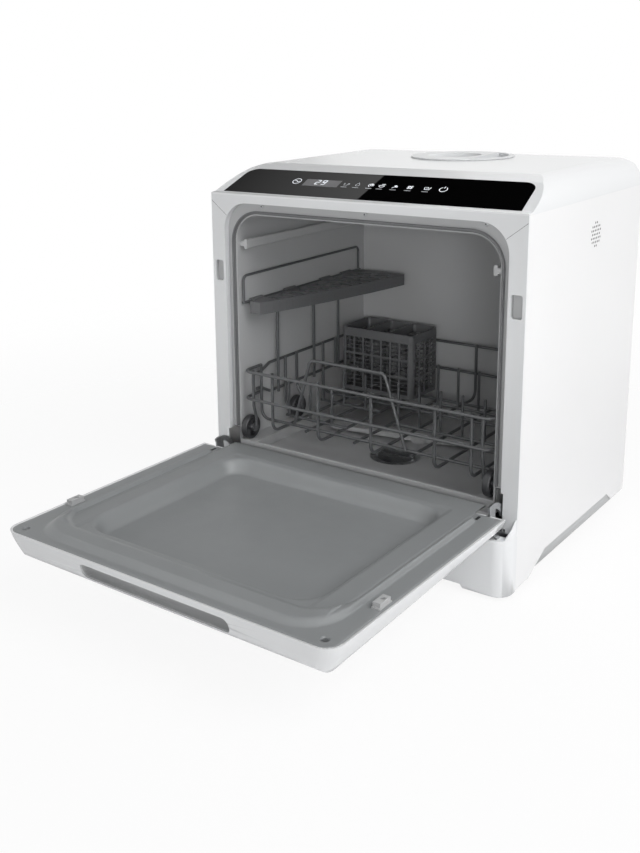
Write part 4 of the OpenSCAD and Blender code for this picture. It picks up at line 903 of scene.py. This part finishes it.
class DISHWASHER_OT_seal(bpy.types.Operator):
    """Makes the lipped seal round the mouth of the tub"""

    bl_idname = "dishwasher.seal"
    bl_label = "Door seal"

    def execute(self, context):
        low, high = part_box("door_seal")
        x, top = high.x - SEAL_INSET, high.z - SEAL_INSET
        line = [(x, low.z + (top - SEAL_CORNER - low.z) * i / 12) for i in range(12)]
        line += arc(x - SEAL_CORNER, top - SEAL_CORNER, SEAL_CORNER, 0, 90, 18)
        line += [(-u, z) for u, z in reversed(line)]
        lip = (high.y - low.y) - 0.1 * MM
        section = [(-SEAL_FOOT, 0), (-SEAL_FOOT, SEAL_HEEL), (-0.5 * MM, SEAL_NECK)]
        section += [(-u * MM, lip * part) for u, part in LIP_IN]
        section += [(u * MM, lip * part) for u, part in LIP_OUT]
        section += [(0.5 * MM, SEAL_NECK), (SEAL_FOOT, SEAL_HEEL), (SEAL_FOOT, 0)]
        strip = bead(line, section, lambda u, z, out: Vector((u, high.y - out, z)))
        seal = place_parts("door_seal_lip", [strip], "cabinet", "seal_rubber", "seal", smooth=50)
        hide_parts("door_seal")
        return {"FINISHED"}


BASKET_RIM, BASKET_RISE, BASKET_WINDOW, BASKET_BARS = 9 * MM, 25 * MM, 22 * MM, 3
BAR_HALF, BAR_INNER, BAR_OUTER, BAR_END = mm(0.45, 1.6, 0.3, 5)


class DISHWASHER_OT_basket(bpy.types.Operator):
    """Lays the fine crossbars over the windows of the cutlery basket"""

    bl_idname = "dishwasher.basket"
    bl_label = "Basket grid"

    def execute(self, context):
        low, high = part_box("cutlery_basket")
        spans, parts = list(zip(low.xy, high.xy)), []
        walls_x, walls_y = (((start + BAR_OUTER, start + BAR_INNER), (end - BAR_INNER, end - BAR_OUTER))
                            for start, end in spans)
        long_x, long_y = ((start + BAR_END, end - BAR_END) for start, end in spans)
        for row in (1, 2, 3):
            foot = high.z - BASKET_RIM - row * BASKET_RISE
            for k in range(1, BASKET_BARS + 1):
                z = foot + BASKET_WINDOW * k / (BASKET_BARS + 1)
                zs = (z - BAR_HALF, z + BAR_HALF)
                parts += [slab(long_x, long_x, ys, zs) for ys in walls_y]
                parts += [slab(xs, xs, long_y, zs) for xs in walls_x]
        place_parts("basket_grid", parts, "cutlery_basket", "dark_plastic", "mid", smooth=FLAT)
        return {"FINISHED"}


SLEEVE_R, SLEEVE_BORE, SLEEVE_HALF = mm(3.8, 2.1, 11)
SLEEVE_PLACES = (0.082, 0.36, 0.68, 0.88)  # shares of the shelf's length
SHELF_TOP, SHELF_THICK, PLATE_START = mm(16.5, 2.5, 6.5)
SHELF_ROWS, SHELF_CURVE = 26, 0.45
WHOLE_ROW = (0.0, 1.0)
SLOTTED_ROW, WIDE_SLOTTED_ROW = (0.0, 0.22, 0.80, 1.0), (0.0, 0.14, 0.47, 0.58, 0.90, 1.0)
WIDE_FROM = 40 * MM
SLEEVE_DROP, WEB_FROM, WEB_INTO = mm(1.5, 3, 1)


class DISHWASHER_OT_shelf(bpy.types.Operator):
    """Moulds the tapered cup shelf with its skirt, slots and hinge sleeves"""

    bl_idname = "dishwasher.shelf"
    bl_label = "Cup shelf"

    def execute(self, context):
        shelf = context.scene.dishwasher_shelf
        low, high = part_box("cup_shelf")
        hinge_x, near, far = low.x + SLEEVE_R, low.y, high.y
        face, inner = low.z + SHELF_TOP, hinge_x + PLATE_START
        plate, skirt = (face - SHELF_THICK, face), (face - shelf.edge, face - SHELF_THICK)

        def free_edge(t):
            widening = (1 + SHELF_CURVE) * t - SHELF_CURVE * t * t
            return hinge_x + shelf.near_width + (shelf.far_width - shelf.near_width) * widening

        rows = [near + (far - near) * i / SHELF_ROWS for i in range(SHELF_ROWS + 1)]
        parts = []
        # plate: rows across, each second one split by its drain slots, with the skirt along the free edge
        for i in range(SHELF_ROWS):
            ys = rows[i], rows[i + 1]
            edge0, edge1 = free_edge(i / SHELF_ROWS), free_edge((i + 1) / SHELF_ROWS)
            fractions = WHOLE_ROW
            if 1 < i < SHELF_ROWS - 2 and i % 2:
                fractions = WIDE_SLOTTED_ROW if edge0 - inner > WIDE_FROM else SLOTTED_ROW
            for span in zip(fractions[::2], fractions[1::2]):
                xs = [[inner + (edge - inner) * part for part in span] for edge in (edge0, edge1)]
                parts.append(slab(*xs, ys, plate))
            parts.append(slab((edge0 - SHELF_THICK, edge0), (edge1 - SHELF_THICK, edge1), ys, skirt))
        for ys, t in (((near, near + SHELF_THICK), 0), ((far - SHELF_THICK, far), 1)):
            xs = (inner, free_edge(t) - SHELF_THICK)
            parts.append(slab(xs, xs, ys, skirt))
        sleeve = [(SLEEVE_R, -SLEEVE_HALF), (SLEEVE_R, SLEEVE_HALF), (SLEEVE_BORE, SLEEVE_HALF),
                  (SLEEVE_BORE, -SLEEVE_HALF)]
        for t in SLEEVE_PLACES:
            middle = Vector((hinge_x, near + (far - near) * t, face - SLEEVE_DROP))
            parts.append(turned(sleeve, 24, middle, "Y"))
            xs = (hinge_x + WEB_FROM, inner + WEB_INTO)
            parts.append(slab(xs, xs, (middle.y - SLEEVE_HALF, middle.y + SLEEVE_HALF), plate))
        piece = place_parts("cup_shelf_moulded", parts, "cup_shelf", "dark_plastic", "mid", smooth=30)
        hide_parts("cup_shelf")
        return {"FINISHED"}


# ---------- stage ----------
CAMERA_PLACE = Vector((0.65246, FRONT - 1.00735, 0.56897))
CAMERA_YAW, CAMERA_PITCH, CAMERA_ROLL = -38.33, -13.66, -1.224
VIEW_HEIGHT = 853  # pixels, the longer side of the frame
FOCAL_PIXELS = 1062.69
CENTRE_SHIFT = (64.2, -99.45)
# lamp: place, target, size and spread in degrees
LAMPS = {
    "key": ((1.9, -0.35, 1.9), (0, -0.05, 0.2), (1.6, 1.6), 180),
    "fill": ((-0.7, -2.1, 1.5), (0, 0, 0.2), (1.6, 1.2), 180),
    "tub_light": ((0.75, -1.2, 0.5), (-0.13, 0.15, 0.25), (0.5, 0.3), 28),
}
FLOOR_HALF, FLOOR_DROP = 9.0, 0.2 * MM
FLOOR_FADE = (0.55, 1.5)  # distances from the middle
FLOOR_LIFT = 0.9  # part of plain white in what the camera sees of the floor
WHITE = (1, 1, 1, 1)


def soft_light(name, place, target, size, spread, power):
    data = bpy.data.lights.new(name, "AREA")
    data.shape = "RECTANGLE"
    data.size, data.size_y = size
    data.spread = math.radians(spread)
    data.energy = power
    lamp = linked(name, data)
    lamp.location = place
    lamp.rotation_euler = (Vector(target) - Vector(place)).to_track_quat("-Z", "Y").to_euler()


def add_camera():
    data = bpy.data.cameras.new("camera")
    data.sensor_fit = "AUTO"
    data.sensor_width = 36
    data.lens = FOCAL_PIXELS * data.sensor_width / VIEW_HEIGHT
    data.shift_x, data.shift_y = (shift / VIEW_HEIGHT for shift in CENTRE_SHIFT)
    camera = linked("camera", data)
    yaw, pitch, roll = map(math.radians, (CAMERA_YAW, CAMERA_PITCH, CAMERA_ROLL))
    ahead = Vector((math.sin(yaw) * math.cos(pitch), math.cos(yaw) * math.cos(pitch), math.sin(pitch)))
    right = Vector((math.cos(yaw), -math.sin(yaw), 0))
    above = right.cross(ahead)
    tilted_right = right * math.cos(roll) + above * math.sin(roll)
    tilted_up = above * math.cos(roll) - right * math.sin(roll)
    turn = Matrix((tilted_right, tilted_up, -ahead)).transposed()
    camera.matrix_world = Matrix.Translation(CAMERA_PLACE) @ turn.to_4x4()
    bpy.context.scene.camera = camera


def add_floor(colour):
    """A pale floor that fades into the white of the room away from the machine."""
    corners = [(x * FLOOR_HALF, y * FLOOR_HALF, 0) for x, y in ((-1, -1), (1, -1), (1, 1), (-1, 1))]
    mesh = mesh_of("floor", corners, [(0, 1, 2, 3)])
    floor = linked("floor", mesh)
    floor.location.z = -FLOOR_DROP
    mat, tree, shader = fresh_material("pale_floor")
    fill(shader, {"Base Color": (*colour, 1), "Roughness": 0.6})
    place = add_node(tree, "ShaderNodeTexCoord")
    reach = add_node(tree, "ShaderNodeVectorMath", operation="LENGTH")
    fade = graded(tree, reach.outputs["Value"], *FLOOR_FADE, interpolation_type="SMOOTHSTEP")
    rays = add_node(tree, "ShaderNodeLightPath")
    seen = add_node(tree, "ShaderNodeMath", operation="MULTIPLY")
    seen.inputs[1].default_value = FLOOR_LIFT
    bright = add_node(tree, "ShaderNodeEmission", Color=WHITE, Strength=1.0)
    clear = add_node(tree, "ShaderNodeBsdfTransparent")
    lifted, blend = (add_node(tree, "ShaderNodeMixShader") for _ in range(2))
    join(tree, (rays.outputs["Is Camera Ray"], seen.inputs[0]),
         (seen.outputs["Value"], lifted.inputs["Fac"]),
         (shader.outputs["BSDF"], lifted.inputs[1]), (bright.outputs["Emission"], lifted.inputs[2]),
         (place.outputs["Object"], reach.inputs[0]), (fade, blend.inputs["Fac"]),
         (lifted.outputs["Shader"], blend.inputs[1]), (clear.outputs["BSDF"], blend.inputs[2]),
         (blend.outputs["Shader"], tree.nodes["Material Output"].inputs["Surface"]))
    mesh.materials.append(mat)


def add_room(strength):
    """Even light for the object, and plain white where the camera, a gloss or a glass sees the room."""
    world = bpy.data.worlds.new("room")
    bpy.context.scene.world = world
    world.use_nodes = True
    tree = world.node_tree
    even = tree.nodes["Background"]
    fill(even, {"Color": WHITE, "Strength": strength})
    white = add_node(tree, "ShaderNodeBackground", Color=WHITE, Strength=1.0)
    rays = add_node(tree, "ShaderNodeLightPath")
    seen, seen_through = (add_node(tree, "ShaderNodeMath", operation="MAXIMUM") for _ in range(2))
    pick = add_node(tree, "ShaderNodeMixShader")
    join(tree, (rays.outputs["Is Camera Ray"], seen.inputs[0]),
         (rays.outputs["Is Glossy Ray"], seen.inputs[1]),
         (seen.outputs["Value"], seen_through.inputs[0]),
         (rays.outputs["Is Transmission Ray"], seen_through.inputs[1]),
         (seen_through.outputs["Value"], pick.inputs["Fac"]),
         (even.outputs["Background"], pick.inputs[1]), (white.outputs["Background"], pick.inputs[2]),
         (pick.outputs["Shader"], tree.nodes["World Output"].inputs["Surface"]))


# where the glass shows the card's straight edge, as panel places
SHEEN_LOW = mm(-1.3, 2.5)
SHEEN_HIGH = mm(3.4, 55.4)
CARD_ROW, CARD_AWAY, CARD_MARGIN = 30 * MM, 1.6, 0.5
CARD_LEFT, CARD_RIGHT = 1.2, 1.4
CARD_GREY, CARD_FADE, CARD_BLACK = (0.40, 0.06), 0.3, 0.004


def card_material(name, strength):
    mat, tree, shader = fresh_material(name)
    tree.nodes.remove(shader)
    light = add_node(tree, "ShaderNodeEmission", Strength=strength)
    join(tree, (light.outputs["Emission"], tree.nodes["Material Output"].inputs["Surface"]))
    return mat, tree, light


def add_dark_card():
    """A card that only glossy surfaces see: grey up to a straight edge and black beyond it."""
    middle = on_panel(0, CARD_ROW, 0)

    def bounce_from(point):
        ray = (point - CAMERA_PLACE).normalized()
        return ray - 2 * ray.dot(OFF_GLASS) * OFF_GLASS

    facing = bounce_from(middle)
    centre = middle + facing * CARD_AWAY

    def seen_in(x, y):
        point = on_panel(x, y, 0)
        ray = bounce_from(point)
        return point + ray * ((centre - point).dot(facing) / ray.dot(facing))

    foot, head = seen_in(*SHEEN_LOW), seen_in(*SHEEN_HIGH)
    up = (head - foot).normalized()
    left = (seen_in(-150 * MM, CARD_ROW) - seen_in(0, CARD_ROW)).normalized()
    left = (left - up * left.dot(up)).normalized()
    low, high = foot - up * CARD_MARGIN, head + up * CARD_MARGIN
    corners = [low + left * CARD_LEFT, low, high, high + left * CARD_LEFT, low - left * CARD_RIGHT,
               high - left * CARD_RIGHT]
    mesh = mesh_of("dark_card", corners, [(0, 1, 2, 3), (1, 4, 5, 2)])
    card = linked("dark_card", mesh)
    grey, tree, light = card_material("card_grey", CARD_GREY[0])
    place = add_node(tree, "ShaderNodeNewGeometry")
    along = add_node(tree, "ShaderNodeVectorMath", operation="DOT_PRODUCT")
    along.inputs[1].default_value = left
    start = foot.dot(left)
    shade = graded(tree, along.outputs["Value"], start, start + CARD_FADE, *CARD_GREY)
    join(tree, (place.outputs["Position"], along.inputs[0]), (shade, light.inputs["Strength"]))
    mesh.materials.append(grey)
    mesh.materials.append(card_material("card_black", CARD_BLACK)[0])
    mesh.polygons[1].material_index = 1
    card.visible_camera = False
    card.visible_diffuse = False
    card.visible_shadow = False
    card.visible_transmission = False


class DISHWASHER_OT_stage(bpy.types.Operator):
    """Sets the floor, the lights and the camera"""

    bl_idname = "dishwasher.stage"
    bl_label = "Stage"

    def execute(self, context):
        stage = context.scene.dishwasher_stage
        context.scene.view_settings.view_transform = "Standard"
        add_camera()
        add_floor(stage.floor)
        add_room(stage.room)
        for name, power in zip(LAMPS, (stage.key_power, stage.fill_power, stage.tub_power)):
            soft_light(name, *LAMPS[name], power)
        add_dark_card()
        return {"FINISHED"}


class DISHWASHER_PT_pieces(bpy.types.Panel):
    """Lists the steps that dress the dishwasher"""

    bl_label = "Dishwasher"
    bl_idname = "DISHWASHER_PT_pieces"
    bl_space_type = "VIEW_3D"
    bl_region_type = "UI"
    bl_category = "Dishwasher"

    def draw(self, context):
        for step in STEPS:
            self.layout.operator(step.bl_idname)


STEPS = (DISHWASHER_OT_finishes, DISHWASHER_OT_panel, DISHWASHER_OT_outside, DISHWASHER_OT_liner,
         DISHWASHER_OT_wheels, DISHWASHER_OT_fittings, DISHWASHER_OT_seal, DISHWASHER_OT_basket,
         DISHWASHER_OT_shelf, DISHWASHER_OT_stage)
SETTINGS = {
    "dishwasher_finish": FinishSettings,
    "dishwasher_panel": PanelSettings,
    "dishwasher_liner": LinerSettings,
    "dishwasher_outside": OutsideSettings,
    "dishwasher_shelf": ShelfSettings,
    "dishwasher_stage": StageSettings,
}
CLASSES = (*SETTINGS.values(), *STEPS, DISHWASHER_PT_pieces)


def register():
    for kind in CLASSES:
        bpy.utils.register_class(kind)
    for name, group in SETTINGS.items():
        setattr(bpy.types.Scene, name, bpy.props.PointerProperty(type=group))


def unregister():
    for name in SETTINGS:
        delattr(bpy.types.Scene, name)
    for kind in reversed(CLASSES):
        bpy.utils.unregister_class(kind)


def main():
    register()
    for step in STEPS:
        group, action = step.bl_idname.split(".")
        getattr(getattr(bpy.ops, group), action)()


if __name__ == "__main__":
    main()
